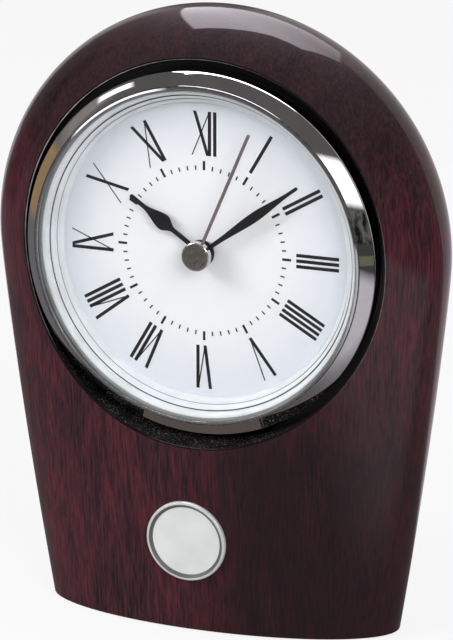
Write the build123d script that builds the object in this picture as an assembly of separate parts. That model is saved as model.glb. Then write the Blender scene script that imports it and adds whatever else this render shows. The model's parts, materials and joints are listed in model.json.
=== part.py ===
from build123d import *
import os
from math import asin, cos, degrees, radians, sin

# Desk clock with a domed, tapering hardwood case and a press-in quartz insert.
# All sizes are in millimetres. X is to the right, the dial faces -Y and Z is up.
# The clock stands on Z = 0, and its bounding box is centred on the Z axis.

# Case, seen from the dial's centre
DIAL_HEIGHT = 95.6           # dial centre above the surface that the clock stands on
CASE_HALF_WIDTH = 58.3       # radius of the arch, at the dial's height
BASE_HALF_WIDTH = 45.7
SIDE_BOW = 1.0               # how far the tapering sides stand out of a straight line
FRONT_BOW_MIDDLE = 22.4      # crown of the front, from the widest plane, at the dial's height
FRONT_BOW_BASE = 17.2        # the same at the base
WIDEST_BEHIND_DIAL = 11.4
BACK_BEHIND_DIAL = 24.6
BACK_ROUND_WIDTH = 19.5      # how far in from the side the back's roundover reaches
RECESS_GAP = 2.3             # open ring between the bezel and the recess round it
RECESS_FLOOR = -1.4          # heights along the dial's axis count from the dial's face, forwards
FELT_THICK = 1.5
FELT_PROUD = 0.5
FELT_INSET = 5.0

# Medallion on the lower front
MEDALLION_R = 10.3
MEDALLION_LIFT = -0.3        # above the middle of the wood between the base and the recess
MEDALLION_SHIFT = -2.6       # to the right of the front's crown
MEDALLION_POCKET = 1.4
MEDALLION_RIM = 0.9
MEDALLION_PROUD = 0.9
MEDALLION_FLOOR = 1.0
MEDALLION_PLATE_THICK = 0.7

# Clearances
SEAT = 0.02                  # between pieces pressed or glued together
RUN = 0.05                   # radial, round a turning shaft
SIDE_PLAY = 0.15             # along a turning shaft

# Insert front: bezel, lens, chapter ring and dial in one stack
BEZEL_R = 44.9
BEZEL_RIDGE = 3.9
BEZEL_TOP = 7.2
BEZEL_SWELL = 0.2            # how far the sloping band stands out of a straight line, each way
BEZEL_WALL = 3.0
BEZEL_LIP_REACH = 0.9        # how far the lip over the lens stands in from the bezel's bore
BEZEL_LIP_THICK = 0.6
LENS_THICK = 1.4
LENS_RISE = 2.2
GASKET_THICK = 0.5
GASKET_WIDTH = 1.5
CHAPTER_WIDTH = 3.7          # of the stepped slope between the dial and the gasket
CHAPTER_STEPS = 3
CHAPTER_RISER_LEAN = 0.3
DIAL_THICK = 0.5
DIAL_HOLE_R = 2.7

# Hands: heights of their backs, and outlines measured from the axis
HAND_THICK = 0.35
HOUR_HAND_Z = 1.7
HOUR_ANGLE = 304.9           # clockwise from twelve
HOUR_LENGTH = 22.3
HOUR_NECK = 8.7              # where the stem ends and the leaf starts
HOUR_WIDE_AT = 11.8
HOUR_WIDE = 4.1
HOUR_BATON = 18.0            # where the leaf ends and the baton starts
HOUR_TIP = 1.05
HOUR_HUB_R = 3.3
MINUTE_HAND_Z = 2.8
MINUTE_ANGLE = 53.5
MINUTE_LENGTH = 31.1
MINUTE_NECK = 5.0
MINUTE_WIDE_AT = 17.5
MINUTE_WIDE = 2.4
MINUTE_BATON = 29.0
MINUTE_TIP = 0.85
MINUTE_HUB_R = 2.9
HAND_STEM = 1.1
SECOND_HAND_Z = 4.3
SECOND_ANGLE = 23.5
SECOND_LENGTH = 33.6
SECOND_WIDTH = 0.8
CAP_R = 3.6
CAP_TOP = 6.0
CAP_EDGE_R = 0.4

# Insert housing
CUP_WALL = 1.6
CUP_BACK = -21.0
FLANGE_WIDTH = 4.4           # how far the flange under the dial stands out of the cup's wall
FLANGE_THICK = 0.9
GRIP_THICK = 2.2
GRIP_FRONT = -8.0
GRIP_BACK = -15.0
GRIP_RIBS = 3
GRIP_RIB_DEPTH = 0.7
POST_R = 2.5
POST_WALL_GAP = 0.9          # between a screw post and the cup's wall
POST_ANGLES = (60.0, 200.0, 310.0)

# Movement plates and their fasteners
FRONT_PLATE_FACE = -4.8
REAR_PLATE_FACE = -13.8
PLATE_THICK = 1.4
REAR_PLATE_GAP = 3.0         # between the rear plate and the screw posts round it
PILLAR_R = 2.0
PILLAR_EDGE = 3.0            # pillars' centres, in from the rear plate's edge
PILLAR_ANGLES = (20.0, 100.0, 215.0, 290.0)
SCREW_R = 0.9
SCREW_HEAD_R = 1.8
SCREW_HEAD_THICK = 0.9
SCREW_DEPTH = 4.0

# Going train: tooth counts, distances of the arbors from the centre and their directions
ROTOR_LEAVES = 8
INTERMEDIATE_TEETH = 40
INTERMEDIATE_LEAVES = 8
SECONDS_TEETH = 48
SECONDS_LEAVES = 8
THIRD_TEETH = 60
THIRD_LEAVES = 8
CENTRE_TEETH = 64
CANNON_LEAVES = 12
MINUTE_TEETH = 36
MINUTE_LEAVES = 10
HOUR_TEETH = 40
THIRD_DISTANCE = 10.2
THIRD_ANGLE = 30.0
INTERMEDIATE_DISTANCE = 10.1
INTERMEDIATE_ANGLE = 150.0
ROTOR_SPACING = 7.2          # rotor to intermediate arbor, on along the same direction
MINUTE_DISTANCE = 10.56
MINUTE_WHEEL_ANGLE = 270.0

# Tooth form, in modules and in shares of the pitch
WHEEL_ADDENDUM = 0.95
WHEEL_DEDENDUM = 1.1
WHEEL_TIP = 0.16
WHEEL_ROOT = 0.52
LEAF_ADDENDUM = 0.75
LEAF_DEDENDUM = 1.25
LEAF_TOOTH = 0.36
LEAF_TIP = 0.16

# Heights of the wheels' front faces, and their thicknesses
WHEEL_THICK = 1.0
LEAF_OVERHANG = 0.2          # how far a pinion stands past the wheel it drives, each side
HOUR_WHEEL_Z = -1.5
MINUTE_WHEEL_Z = -3.2
CENTRE_WHEEL_Z = -6.6
THIRD_WHEEL_Z = -9.5
INTERMEDIATE_WHEEL_Z = -9.3
SECONDS_WHEEL_Z = -11.6

# Arbors and tubes
SECONDS_ARBOR_R = 0.6
ARBOR_R = 0.5
MINUTE_ARBOR_R = 0.8
MINUTE_TUBE_R = 1.5
HOUR_TUBE_WALL = 0.65
CLUTCH_COLLAR_R = 2.6
CLUTCH_COLLAR_THICK = 0.6

# Motor
MAGNET_R = 3.0
MAGNET_THICK = 1.6
MAGNET_Z = -11.2
STATOR_GAP = 0.5
STATOR_THICK = 0.8
STATOR_WIDTH = 9.6
STATOR_LENGTH = 26.0
STATOR_LEG = 3.6
COIL_OFFSET = 8.5            # coil axis beyond the rotor
COIL_R = 2.8
COIL_LENGTH = 15.0
BOBBIN_CHEEK = 0.8
BOBBIN_CHEEK_R = 3.4
CORE_THICK = 0.8
STAKE_R = 0.8
STATOR_BOSS_R = 1.5

# Electrics
BOARD_LEFT = -8.0
BOARD_RIGHT = 18.0
BOARD_LOW = 7.5
BOARD_HIGH = 18.5
BOARD_THICK = 1.0
CHIP_R = 3.0
CHIP_THICK = 0.9
CHIP_X = -2.0
CRYSTAL_R = 1.0
CRYSTAL_LENGTH = 6.0
CRYSTAL_X = 9.0
CRYSTAL_Y = 15.5
CELL_R = 5.8
CELL_THICK = 5.4
CELL_BUTTON_R = 4.6
CELL_BUTTON_THICK = 0.5
CELL_X = 19.9
CELL_Y = -9.3
WELL_WALL = 1.0
WELL_FLOOR = 0.8
WELL_GAP = 0.3
WELL_CLEARANCE = 2.6         # rear plate's opening, beyond the well's bore
CONTACT_THICK = 0.25
CONTACT_WIDTH = 2.0
CONTACT_SPACING = 2.6
CONTACT_LAP = 2.0            # how far a contact lies over the board

# Battery door: a round cap turned with a coin, held by two lugs
DOOR_R = 7.6
DOOR_TURN = 45.0
DOOR_LUG_REACH = 1.0
DOOR_LUG_THICK = 0.9
DOOR_LUG_ANGLE = 30.0
DOOR_SKIRT = 0.4
DOOR_SLOT_WIDTH = 1.6
DOOR_SLOT_LENGTH = 11.0
DOOR_SLOT_DEPTH = 0.8

# Setting knob
KNOB_R = 5.0
KNOB_THICK = 2.3
KNOB_GRIPS = 18
KNOB_GRIP_R = 0.5

# Worked out from the sizes above
RECESS_R = BEZEL_R + RECESS_GAP
MEDALLION_HEIGHT = (DIAL_HEIGHT - RECESS_R) / 2 + MEDALLION_LIFT
BEZEL_BORE_R = BEZEL_R - BEZEL_WALL
BEZEL_LIP_R = BEZEL_BORE_R - BEZEL_LIP_REACH
STACK_R = BEZEL_BORE_R - SEAT
CHAPTER_TOP_R = STACK_R - GASKET_WIDTH
CHAPTER_FOOT_R = CHAPTER_TOP_R - CHAPTER_WIDTH
LENS_FACE = BEZEL_TOP - BEZEL_LIP_THICK
GASKET_FACE = LENS_FACE - LENS_THICK
CHAPTER_TOP = GASKET_FACE - GASKET_THICK
LENS_APEX = LENS_FACE + LENS_RISE
CUP_R = STACK_R - FLANGE_WIDTH
BORE_R = CUP_R + GRIP_THICK
CUP_INNER_R = CUP_R - CUP_WALL
CUP_FLOOR = CUP_BACK + CUP_WALL
POST_CIRCLE_R = CUP_INNER_R - POST_WALL_GAP - POST_R
REAR_PLATE_R = POST_CIRCLE_R - POST_R - REAR_PLATE_GAP
PILLAR_CIRCLE_R = REAR_PLATE_R - PILLAR_EDGE
FRONT_PLATE_BACK = FRONT_PLATE_FACE - PLATE_THICK
REAR_PLATE_BACK = REAR_PLATE_FACE - PLATE_THICK
BOARD_BACK = REAR_PLATE_BACK - BOARD_THICK
DIAL_Y = (LENS_APEX - BACK_BEHIND_DIAL) / 2
MINUTE_TUBE_BORE = SECONDS_ARBOR_R + RUN
HOUR_TUBE_BORE = MINUTE_TUBE_R + RUN
HOUR_TUBE_R = HOUR_TUBE_BORE + HOUR_TUBE_WALL
WELL_R = CELL_R + WELL_GAP
CELL_BACK = CUP_FLOOR + DOOR_LUG_THICK - DOOR_SKIRT
CELL_FRONT = CELL_BACK + CELL_THICK
WELL_FLOOR_FACE = CELL_FRONT + CONTACT_THICK

FRONT = Plane(origin=(0, DIAL_Y, DIAL_HEIGHT), x_dir=(1, 0, 0), z_dir=(0, -1, 0))


def polar(radius, angle):
    """A point at a distance and an angle, counter-clockwise from X, seen from the front."""
    return radius * cos(radians(angle)), radius * sin(radians(angle))


THIRD_AT = polar(THIRD_DISTANCE, THIRD_ANGLE)
INTERMEDIATE_AT = polar(INTERMEDIATE_DISTANCE, INTERMEDIATE_ANGLE)
ROTOR_AT = polar(INTERMEDIATE_DISTANCE + ROTOR_SPACING, INTERMEDIATE_ANGLE)
MINUTE_AT = polar(MINUTE_DISTANCE, MINUTE_WHEEL_ANGLE)
CELL_AT = (CELL_X, CELL_Y)


def rod(radius, front, back, at=(0, 0)):
    """A cylinder along the dial's axis, between two heights."""
    low = Pos(at[0], at[1], back)
    return low * Cylinder(radius, front - back, align=(Align.CENTER, Align.CENTER, Align.MIN))


def pipe(outer, inner, front, back, at=(0, 0)):
    return rod(outer, front, back, at) - rod(inner, front, back, at)


def slab(x_low, x_high, y_low, y_high, front, back):
    corner = Pos(x_low, y_low, back)
    size = (x_high - x_low, y_high - y_low, front - back)
    return corner * Box(*size, align=(Align.MIN, Align.MIN, Align.MIN))


def turned(*edges):
    """Revolve a closed outline of radius and height about the dial's axis."""
    return revolve(Plane.XZ * make_face(edges), Axis.Z)


def outline(*points):
    return Polyline(*points, close=True)


# Case

def case_section(height, half_width, front_bow, inset=0):
    """Level section: an elliptical front, a flat back and rounded back corners."""
    wide_y = DIAL_Y + WIDEST_BEHIND_DIAL
    back_depth = BACK_BEHIND_DIAL - WIDEST_BEHIND_DIAL - inset
    flat = half_width - BACK_ROUND_WIDTH
    corner = BACK_ROUND_WIDTH - inset
    face = make_face([
        EllipticalCenterArc((0, wide_y), half_width - inset, front_bow - inset, 180, arc_size=180),
        EllipticalCenterArc((flat, wide_y), corner, back_depth, 0, arc_size=90),
        Line((flat, wide_y + back_depth), (-flat, wide_y + back_depth)),
        EllipticalCenterArc((-flat, wide_y), corner, back_depth, 90, arc_size=90),
    ])
    return Pos(0, 0, height) * face


def case_arch():
    """The upper half: half of the middle section, turned half a turn about the dial's axis."""
    wide_y = DIAL_Y + WIDEST_BEHIND_DIAL
    back_y = DIAL_Y + BACK_BEHIND_DIAL
    back_depth = BACK_BEHIND_DIAL - WIDEST_BEHIND_DIAL
    crown_y = wide_y - FRONT_BOW_MIDDLE
    flat = CASE_HALF_WIDTH - BACK_ROUND_WIDTH
    half = make_face([
        EllipticalCenterArc((0, wide_y), CASE_HALF_WIDTH, FRONT_BOW_MIDDLE, 270, arc_size=90),
        EllipticalCenterArc((flat, wide_y), BACK_ROUND_WIDTH, back_depth, 0, arc_size=90),
        Line((flat, back_y), (0, back_y)),
        Line((0, back_y), (0, crown_y)),
    ])
    return Pos(0, 0, DIAL_HEIGHT) * revolve(half, Axis((0, 0, 0), (0, -1, 0)), 180)


def case_foot():
    """The lower half: a loft from the middle section to the smaller base section."""
    middle_height = (DIAL_HEIGHT + FELT_PROUD) / 2
    middle_width = (CASE_HALF_WIDTH + BASE_HALF_WIDTH) / 2 + SIDE_BOW
    middle_bow = (FRONT_BOW_MIDDLE + FRONT_BOW_BASE) / 2
    return loft([
        case_section(DIAL_HEIGHT, CASE_HALF_WIDTH, FRONT_BOW_MIDDLE),
        case_section(middle_height, middle_width, middle_bow),
        case_section(FELT_PROUD, BASE_HALF_WIDTH, FRONT_BOW_BASE),
    ])


def felt_pad(inset):
    return extrude(case_section(0, BASE_HALF_WIDTH, FRONT_BOW_BASE, inset), FELT_THICK)


def medallion_plane():
    """Plane of the medallion's seat, square to the leaning front at its crown."""
    share = (DIAL_HEIGHT - MEDALLION_HEIGHT) / (DIAL_HEIGHT - FELT_PROUD)
    lean = (FRONT_BOW_MIDDLE - FRONT_BOW_BASE) / (DIAL_HEIGHT - FELT_PROUD)
    bow = FRONT_BOW_MIDDLE - (FRONT_BOW_MIDDLE - FRONT_BOW_BASE) * share
    seat = (MEDALLION_SHIFT, DIAL_Y + WIDEST_BEHIND_DIAL - bow, MEDALLION_HEIGHT)
    return Plane(origin=seat, x_dir=(1, 0, 0), z_dir=(0, -1, -lean))


def wood_case():
    body = case_arch() + case_foot()
    reach = CASE_HALF_WIDTH
    recess = FRONT.location * rod(RECESS_R, reach, RECESS_FLOOR)
    bore = FRONT.location * rod(BORE_R, reach, -reach)
    pocket_r = MEDALLION_R + SEAT
    pocket = medallion_plane().location * rod(pocket_r, reach, -MEDALLION_POCKET)
    felt_bed = felt_pad(FELT_INSET - SEAT)
    return body - recess - bore - pocket - felt_bed


def base_felt():
    return felt_pad(FELT_INSET)


def medallion_cup():
    inner = MEDALLION_R - MEDALLION_RIM
    floor = -MEDALLION_POCKET + MEDALLION_FLOOR
    cup = rod(MEDALLION_R, MEDALLION_PROUD, -MEDALLION_POCKET) - rod(inner, MEDALLION_PROUD, floor)
    rim = cup.edges().group_by(Axis.Z)[-1]
    return medallion_plane().location * fillet(rim, MEDALLION_RIM * 0.4)


def medallion_plate():
    floor = -MEDALLION_POCKET + MEDALLION_FLOOR
    plate_r = MEDALLION_R - MEDALLION_RIM - SEAT
    return medallion_plane().location * rod(plate_r, floor + MEDALLION_PLATE_THICK, floor)


# Insert front

def bezel():
    middle_r = (BEZEL_R + BEZEL_LIP_R) / 2 + BEZEL_SWELL
    middle_z = (BEZEL_RIDGE + BEZEL_TOP) / 2 + BEZEL_SWELL
    return turned(
        Line((BEZEL_BORE_R, RECESS_FLOOR), (BEZEL_R, RECESS_FLOOR)),
        Line((BEZEL_R, RECESS_FLOOR), (BEZEL_R, BEZEL_RIDGE)),
        ThreePointArc((BEZEL_R, BEZEL_RIDGE), (middle_r, middle_z), (BEZEL_LIP_R, BEZEL_TOP)),
        Line((BEZEL_LIP_R, BEZEL_TOP), (BEZEL_LIP_R, LENS_FACE)),
        Line((BEZEL_LIP_R, LENS_FACE), (BEZEL_BORE_R, LENS_FACE)),
        Line((BEZEL_BORE_R, LENS_FACE), (BEZEL_BORE_R, RECESS_FLOOR)),
    )


def lens():
    """A clear spherical dome of even height with a flat rim under the bezel's lip."""
    dome_r = BEZEL_LIP_R - SEAT
    sphere_r = (dome_r ** 2 + LENS_RISE ** 2) / (2 * LENS_RISE)
    half_angle = degrees(asin(dome_r / sphere_r))
    outer_centre = LENS_APEX - sphere_r
    inner_apex = GASKET_FACE + LENS_RISE
    inner_centre = inner_apex - sphere_r
    return turned(
        Line((0, inner_apex), (0, LENS_APEX)),
        CenterArc((0, outer_centre), sphere_r, 90, -half_angle),
        Line((dome_r, LENS_FACE), (STACK_R, LENS_FACE)),
        Line((STACK_R, LENS_FACE), (STACK_R, GASKET_FACE)),
        Line((STACK_R, GASKET_FACE), (dome_r, GASKET_FACE)),
        CenterArc((0, inner_centre), sphere_r, 90 - half_angle, half_angle),
    )


def lens_gasket():
    return pipe(STACK_R, STACK_R - GASKET_WIDTH, GASKET_FACE, CHAPTER_TOP)


def chapter_ring():
    """Stepped white ring from the dial up to the lens: steep risers, nearly level treads."""
    rise = CHAPTER_TOP / CHAPTER_STEPS
    tread = (CHAPTER_TOP_R - CHAPTER_FOOT_R) / CHAPTER_STEPS
    points = [(STACK_R, 0), (CHAPTER_FOOT_R, 0)]
    for step in range(CHAPTER_STEPS):
        foot_r = CHAPTER_FOOT_R + tread * step
        foot_z = rise * step
        points.append((foot_r + CHAPTER_RISER_LEAN, foot_z + rise * 0.8))
        points.append((foot_r + tread, foot_z + rise))
    points.append((STACK_R, CHAPTER_TOP))
    return turned(outline(*points))


def dial():
    return pipe(STACK_R, DIAL_HOLE_R, 0, -DIAL_THICK)


# Hands

def swelling(low, high):
    """Side of a hand between two half widths, upright at both ends."""
    third = (high[1] - low[1]) / 3
    return Bezier(low, (low[0], low[1] + third), (high[0], high[1] - third), high)


def blade(neck, wide_at, wide, baton, tip, length):
    """Outline of a hand that points up: a stem, a leaf and a round-ended baton."""
    stem = HAND_STEM / 2
    side = tip / 2
    half = make_face([
        Line((0, 0), (stem, 0)),
        Line((stem, 0), (stem, neck)),
        swelling((stem, neck), (wide / 2, wide_at)),
        swelling((wide / 2, wide_at), (side, baton)),
        Line((side, baton), (side, length - side)),
        CenterArc((0, length - side), side, 0, 90),
        Line((0, length), (0, 0)),
    ])
    return half + mirror(half, Plane.YZ)


def hand(shape, hub_r, bore_r, back, angle):
    front = back + HAND_THICK
    solid = Pos(0, 0, back) * extrude(shape, HAND_THICK) + rod(hub_r, front, back)
    return Rot(0, 0, -angle) * (solid - rod(bore_r, front, back))


def hour_hand():
    shape = blade(HOUR_NECK, HOUR_WIDE_AT, HOUR_WIDE, HOUR_BATON, HOUR_TIP, HOUR_LENGTH)
    return hand(shape, HOUR_HUB_R, HOUR_TUBE_R + SEAT, HOUR_HAND_Z, HOUR_ANGLE)


def minute_hand():
    shape = blade(MINUTE_NECK, MINUTE_WIDE_AT, MINUTE_WIDE, MINUTE_BATON, MINUTE_TIP, MINUTE_LENGTH)
    return hand(shape, MINUTE_HUB_R, MINUTE_TUBE_R + SEAT, MINUTE_HAND_Z, MINUTE_ANGLE)


def second_hand():
    """A thin baton with the polished cap that covers the hands' centre."""
    side = SECOND_WIDTH / 2
    front = SECOND_HAND_Z + HAND_THICK
    baton = slab(-side, side, 0, SECOND_LENGTH, front, SECOND_HAND_Z)
    cap = rod(CAP_R, CAP_TOP, SECOND_HAND_Z)
    cap = fillet(cap.edges().group_by(Axis.Z)[-1], CAP_EDGE_R)
    socket = rod(SECONDS_ARBOR_R + SEAT, arbor_front() + SEAT, SECOND_HAND_Z)
    return Rot(0, 0, -SECOND_ANGLE) * (baton + cap - socket)


def arbor_front():
    """Height of the seconds arbor's front end, inside the cap."""
    return (SECOND_HAND_Z + CAP_TOP) / 2


# Wheels and pinions

def gear_points(teeth, phase, steps):
    """Tooth outline: each tooth is walked through (radius, half of its share of the pitch)."""
    points = []
    for tooth in range(teeth):
        centre = phase + tooth * 360 / teeth
        for radius, share in steps:
            points.append(polar(radius, centre - share * 180 / teeth))
        for radius, share in reversed(steps):
            points.append(polar(radius, centre + share * 180 / teeth))
    return points


def wheel(teeth, module, front, at, phase):
    """A wheel with straight-flanked teeth."""
    pitch_r = module * teeth / 2
    steps = (
        (pitch_r - WHEEL_DEDENDUM * module, WHEEL_ROOT),
        (pitch_r + WHEEL_ADDENDUM * module, WHEEL_TIP),
    )
    face = make_face(outline(*gear_points(teeth, phase, steps)))
    return Pos(at[0], at[1], front - WHEEL_THICK) * extrude(face, WHEEL_THICK)


def pinion(leaves, module, front, back, at, phase):
    """A pinion with radial flanks up to the pitch circle and tapered tips."""
    pitch_r = module * leaves / 2
    steps = (
        (pitch_r - LEAF_DEDENDUM * module, LEAF_TOOTH),
        (pitch_r, LEAF_TOOTH),
        (pitch_r + LEAF_ADDENDUM * module, LEAF_TIP),
    )
    face = make_face(outline(*gear_points(leaves, phase, steps)))
    return Pos(at[0], at[1], back) * extrude(face, front - back)


def mesh_phase(teeth, direction, partner_teeth, partner_phase):
    """Phase that puts a gap opposite the partner's tooth, seen along the line of centres."""
    partner_share = (direction - partner_phase) * partner_teeth / 360
    return direction + 180 - (0.5 - partner_share) * 360 / teeth


def spacing_module(distance, teeth, leaves):
    return 2 * distance / (teeth + leaves)


def pinion_span(wheel_front):
    """Front and back of a pinion that drives the wheel whose front face is given."""
    return wheel_front + LEAF_OVERHANG, wheel_front - WHEEL_THICK - LEAF_OVERHANG


SECONDS_MODULE = spacing_module(INTERMEDIATE_DISTANCE, SECONDS_TEETH, INTERMEDIATE_LEAVES)
ROTOR_MODULE = spacing_module(ROTOR_SPACING, INTERMEDIATE_TEETH, ROTOR_LEAVES)
THIRD_MODULE = spacing_module(THIRD_DISTANCE, THIRD_TEETH, SECONDS_LEAVES)
CENTRE_MODULE = spacing_module(THIRD_DISTANCE, CENTRE_TEETH, THIRD_LEAVES)
MINUTE_MODULE = spacing_module(MINUTE_DISTANCE, MINUTE_TEETH, CANNON_LEAVES)
HOUR_MODULE = spacing_module(MINUTE_DISTANCE, HOUR_TEETH, MINUTE_LEAVES)

SECONDS_PHASE = 0.0
INTERMEDIATE_LEAF_PHASE = mesh_phase(INTERMEDIATE_LEAVES, INTERMEDIATE_ANGLE, SECONDS_TEETH, SECONDS_PHASE)
INTERMEDIATE_PHASE = 0.0
ROTOR_PHASE = mesh_phase(ROTOR_LEAVES, INTERMEDIATE_ANGLE, INTERMEDIATE_TEETH, INTERMEDIATE_PHASE)
SECONDS_LEAF_PHASE = 0.0
THIRD_PHASE = mesh_phase(THIRD_TEETH, THIRD_ANGLE, SECONDS_LEAVES, SECONDS_LEAF_PHASE)
CENTRE_PHASE = 0.0
THIRD_LEAF_PHASE = mesh_phase(THIRD_LEAVES, THIRD_ANGLE, CENTRE_TEETH, CENTRE_PHASE)
CANNON_PHASE = 0.0
MINUTE_PHASE = mesh_phase(MINUTE_TEETH, MINUTE_WHEEL_ANGLE, CANNON_LEAVES, CANNON_PHASE)
HOUR_PHASE = 0.0
MINUTE_LEAF_PHASE = mesh_phase(MINUTE_LEAVES, MINUTE_WHEEL_ANGLE, HOUR_TEETH, HOUR_PHASE)


def hour_wheel():
    """The hour wheel with the tube that carries the hour hand."""
    front = HOUR_HAND_Z + HAND_THICK
    back = HOUR_WHEEL_Z - WHEEL_THICK
    solid = wheel(HOUR_TEETH, HOUR_MODULE, HOUR_WHEEL_Z, (0, 0), HOUR_PHASE) + rod(HOUR_TUBE_R, front, back)
    return solid - rod(HOUR_TUBE_BORE, front, back)


def minute_tube():
    """The cannon pinion: a tube with the minute hand in front and the clutch collar behind."""
    front = MINUTE_HAND_Z + HAND_THICK
    leaf_front = HOUR_WHEEL_Z - WHEEL_THICK - SIDE_PLAY
    leaf_back = MINUTE_WHEEL_Z - WHEEL_THICK - LEAF_OVERHANG
    collar_front = CENTRE_WHEEL_Z - WHEEL_THICK - SIDE_PLAY
    collar_back = collar_front - CLUTCH_COLLAR_THICK
    solid = rod(MINUTE_TUBE_R, front, collar_back)
    solid += pinion(CANNON_LEAVES, MINUTE_MODULE, leaf_front, leaf_back, (0, 0), CANNON_PHASE)
    solid += rod(CLUTCH_COLLAR_R, collar_front, collar_back)
    return solid - rod(MINUTE_TUBE_BORE, front, collar_back)


def minute_wheel():
    """The minute wheel and its pinion on the arbor that ends in the setting knob."""
    leaf_front = HOUR_WHEEL_Z + LEAF_OVERHANG
    leaf_back = MINUTE_WHEEL_Z - WHEEL_THICK
    solid = wheel(MINUTE_TEETH, MINUTE_MODULE, MINUTE_WHEEL_Z, MINUTE_AT, MINUTE_PHASE)
    solid += pinion(MINUTE_LEAVES, HOUR_MODULE, leaf_front, leaf_back, MINUTE_AT, MINUTE_LEAF_PHASE)
    return solid + rod(MINUTE_ARBOR_R, leaf_front, knob_socket_end(), MINUTE_AT)


def centre_wheel():
    """Turns once an hour and grips the minute tube by friction."""
    disc = wheel(CENTRE_TEETH, CENTRE_MODULE, CENTRE_WHEEL_Z, (0, 0), CENTRE_PHASE)
    return disc - rod(MINUTE_TUBE_R + RUN, CENTRE_WHEEL_Z, CENTRE_WHEEL_Z - WHEEL_THICK)


def third_wheel():
    leaf_front, _ = pinion_span(CENTRE_WHEEL_Z)
    leaf_back = THIRD_WHEEL_Z - WHEEL_THICK
    solid = wheel(THIRD_TEETH, THIRD_MODULE, THIRD_WHEEL_Z, THIRD_AT, THIRD_PHASE)
    solid += pinion(THIRD_LEAVES, CENTRE_MODULE, leaf_front, leaf_back, THIRD_AT, THIRD_LEAF_PHASE)
    return solid + rod(ARBOR_R, pivot_front(), pivot_back(), THIRD_AT)


def seconds_wheel():
    leaf_front, _ = pinion_span(THIRD_WHEEL_Z)
    leaf_back = SECONDS_WHEEL_Z - WHEEL_THICK
    solid = wheel(SECONDS_TEETH, SECONDS_MODULE, SECONDS_WHEEL_Z, (0, 0), SECONDS_PHASE)
    solid += pinion(SECONDS_LEAVES, THIRD_MODULE, leaf_front, leaf_back, (0, 0), SECONDS_LEAF_PHASE)
    return solid + rod(SECONDS_ARBOR_R, arbor_front(), pivot_back())


def intermediate_wheel():
    _, leaf_back = pinion_span(SECONDS_WHEEL_Z)
    at = INTERMEDIATE_AT
    solid = wheel(INTERMEDIATE_TEETH, ROTOR_MODULE, INTERMEDIATE_WHEEL_Z, at, INTERMEDIATE_PHASE)
    solid += pinion(
        INTERMEDIATE_LEAVES, SECONDS_MODULE, INTERMEDIATE_WHEEL_Z, leaf_back, at, INTERMEDIATE_LEAF_PHASE
    )
    return solid + rod(ARBOR_R, pivot_front(), pivot_back(), at)


def rotor():
    """The stepping motor's magnet and pinion on one arbor."""
    leaf_front, _ = pinion_span(INTERMEDIATE_WHEEL_Z)
    solid = pinion(ROTOR_LEAVES, ROTOR_MODULE, leaf_front, MAGNET_Z, ROTOR_AT, ROTOR_PHASE)
    solid += rod(MAGNET_R, MAGNET_Z, MAGNET_Z - MAGNET_THICK, ROTOR_AT)
    return solid + rod(ARBOR_R, pivot_front(), pivot_back(), ROTOR_AT)


def pivot_front():
    """Arbors end halfway through the plates that carry them."""
    return FRONT_PLATE_BACK + PLATE_THICK / 2


def pivot_back():
    return REAR_PLATE_FACE - PLATE_THICK / 2


# Insert housing

def insert_cup():
    """Moulded cup: flange, wall and back, with screw posts, the cell's well and the door's seat."""
    back_of_flange = -DIAL_THICK - FLANGE_THICK
    solid = rod(STACK_R, -DIAL_THICK, back_of_flange) + rod(CUP_R, back_of_flange, CUP_BACK)
    solid -= rod(CUP_INNER_R, -DIAL_THICK, CUP_FLOOR)
    for angle in POST_ANGLES:
        solid += rod(POST_R, FRONT_PLATE_BACK, CUP_FLOOR, polar(POST_CIRCLE_R, angle))
    solid += cell_well()
    solid -= rod(DOOR_R + RUN, CUP_FLOOR, CUP_BACK, CELL_AT)
    solid -= door_lugs(CUP_FLOOR, CUP_BACK, RUN, DOOR_TURN)
    for angle in POST_ANGLES:
        hole_back = FRONT_PLATE_BACK - SCREW_DEPTH
        solid -= rod(SCREW_R + SEAT, FRONT_PLATE_BACK, hole_back, polar(POST_CIRCLE_R, angle))
    return solid - rod(MINUTE_ARBOR_R + RUN, CUP_FLOOR, CUP_BACK, MINUTE_AT)


def cell_well():
    """Round well for the cell, on two ribs that leave room for the door's skirt and lugs."""
    outer = WELL_R + WELL_WALL
    floor_front = WELL_FLOOR_FACE + WELL_FLOOR
    well_back = CUP_FLOOR + DOOR_LUG_THICK + SIDE_PLAY
    lug_r = DOOR_R + DOOR_LUG_REACH + SIDE_PLAY
    well = rod(outer, floor_front, well_back, CELL_AT) - rod(WELL_R, WELL_FLOOR_FACE, well_back, CELL_AT)
    half_rib = WELL_WALL
    rib_front = REAR_PLATE_BACK - SIDE_PLAY
    for side in (-1, 1):
        near = CELL_X + side * (WELL_R + WELL_WALL / 2)
        far = CELL_X + side * (lug_r + WELL_WALL)
        rib = slab(min(near, far), max(near, far), CELL_Y - half_rib, CELL_Y + half_rib, rib_front, CUP_FLOOR)
        well += rib - rod(lug_r, well_back, CUP_FLOOR, CELL_AT)
    return well - contact_slots()


def contact_slots():
    """Slots through the well's wall for the two contacts."""
    slots = None
    for x in (negative_x(), positive_x()):
        half = CONTACT_WIDTH / 2 + SEAT
        low = CELL_Y
        high = CELL_Y + WELL_R + WELL_WALL * 2
        slot = slab(x - half, x + half, low, high, WELL_FLOOR_FACE, CUP_FLOOR)
        slots = slot if slots is None else slots + slot
    return slots


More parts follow.
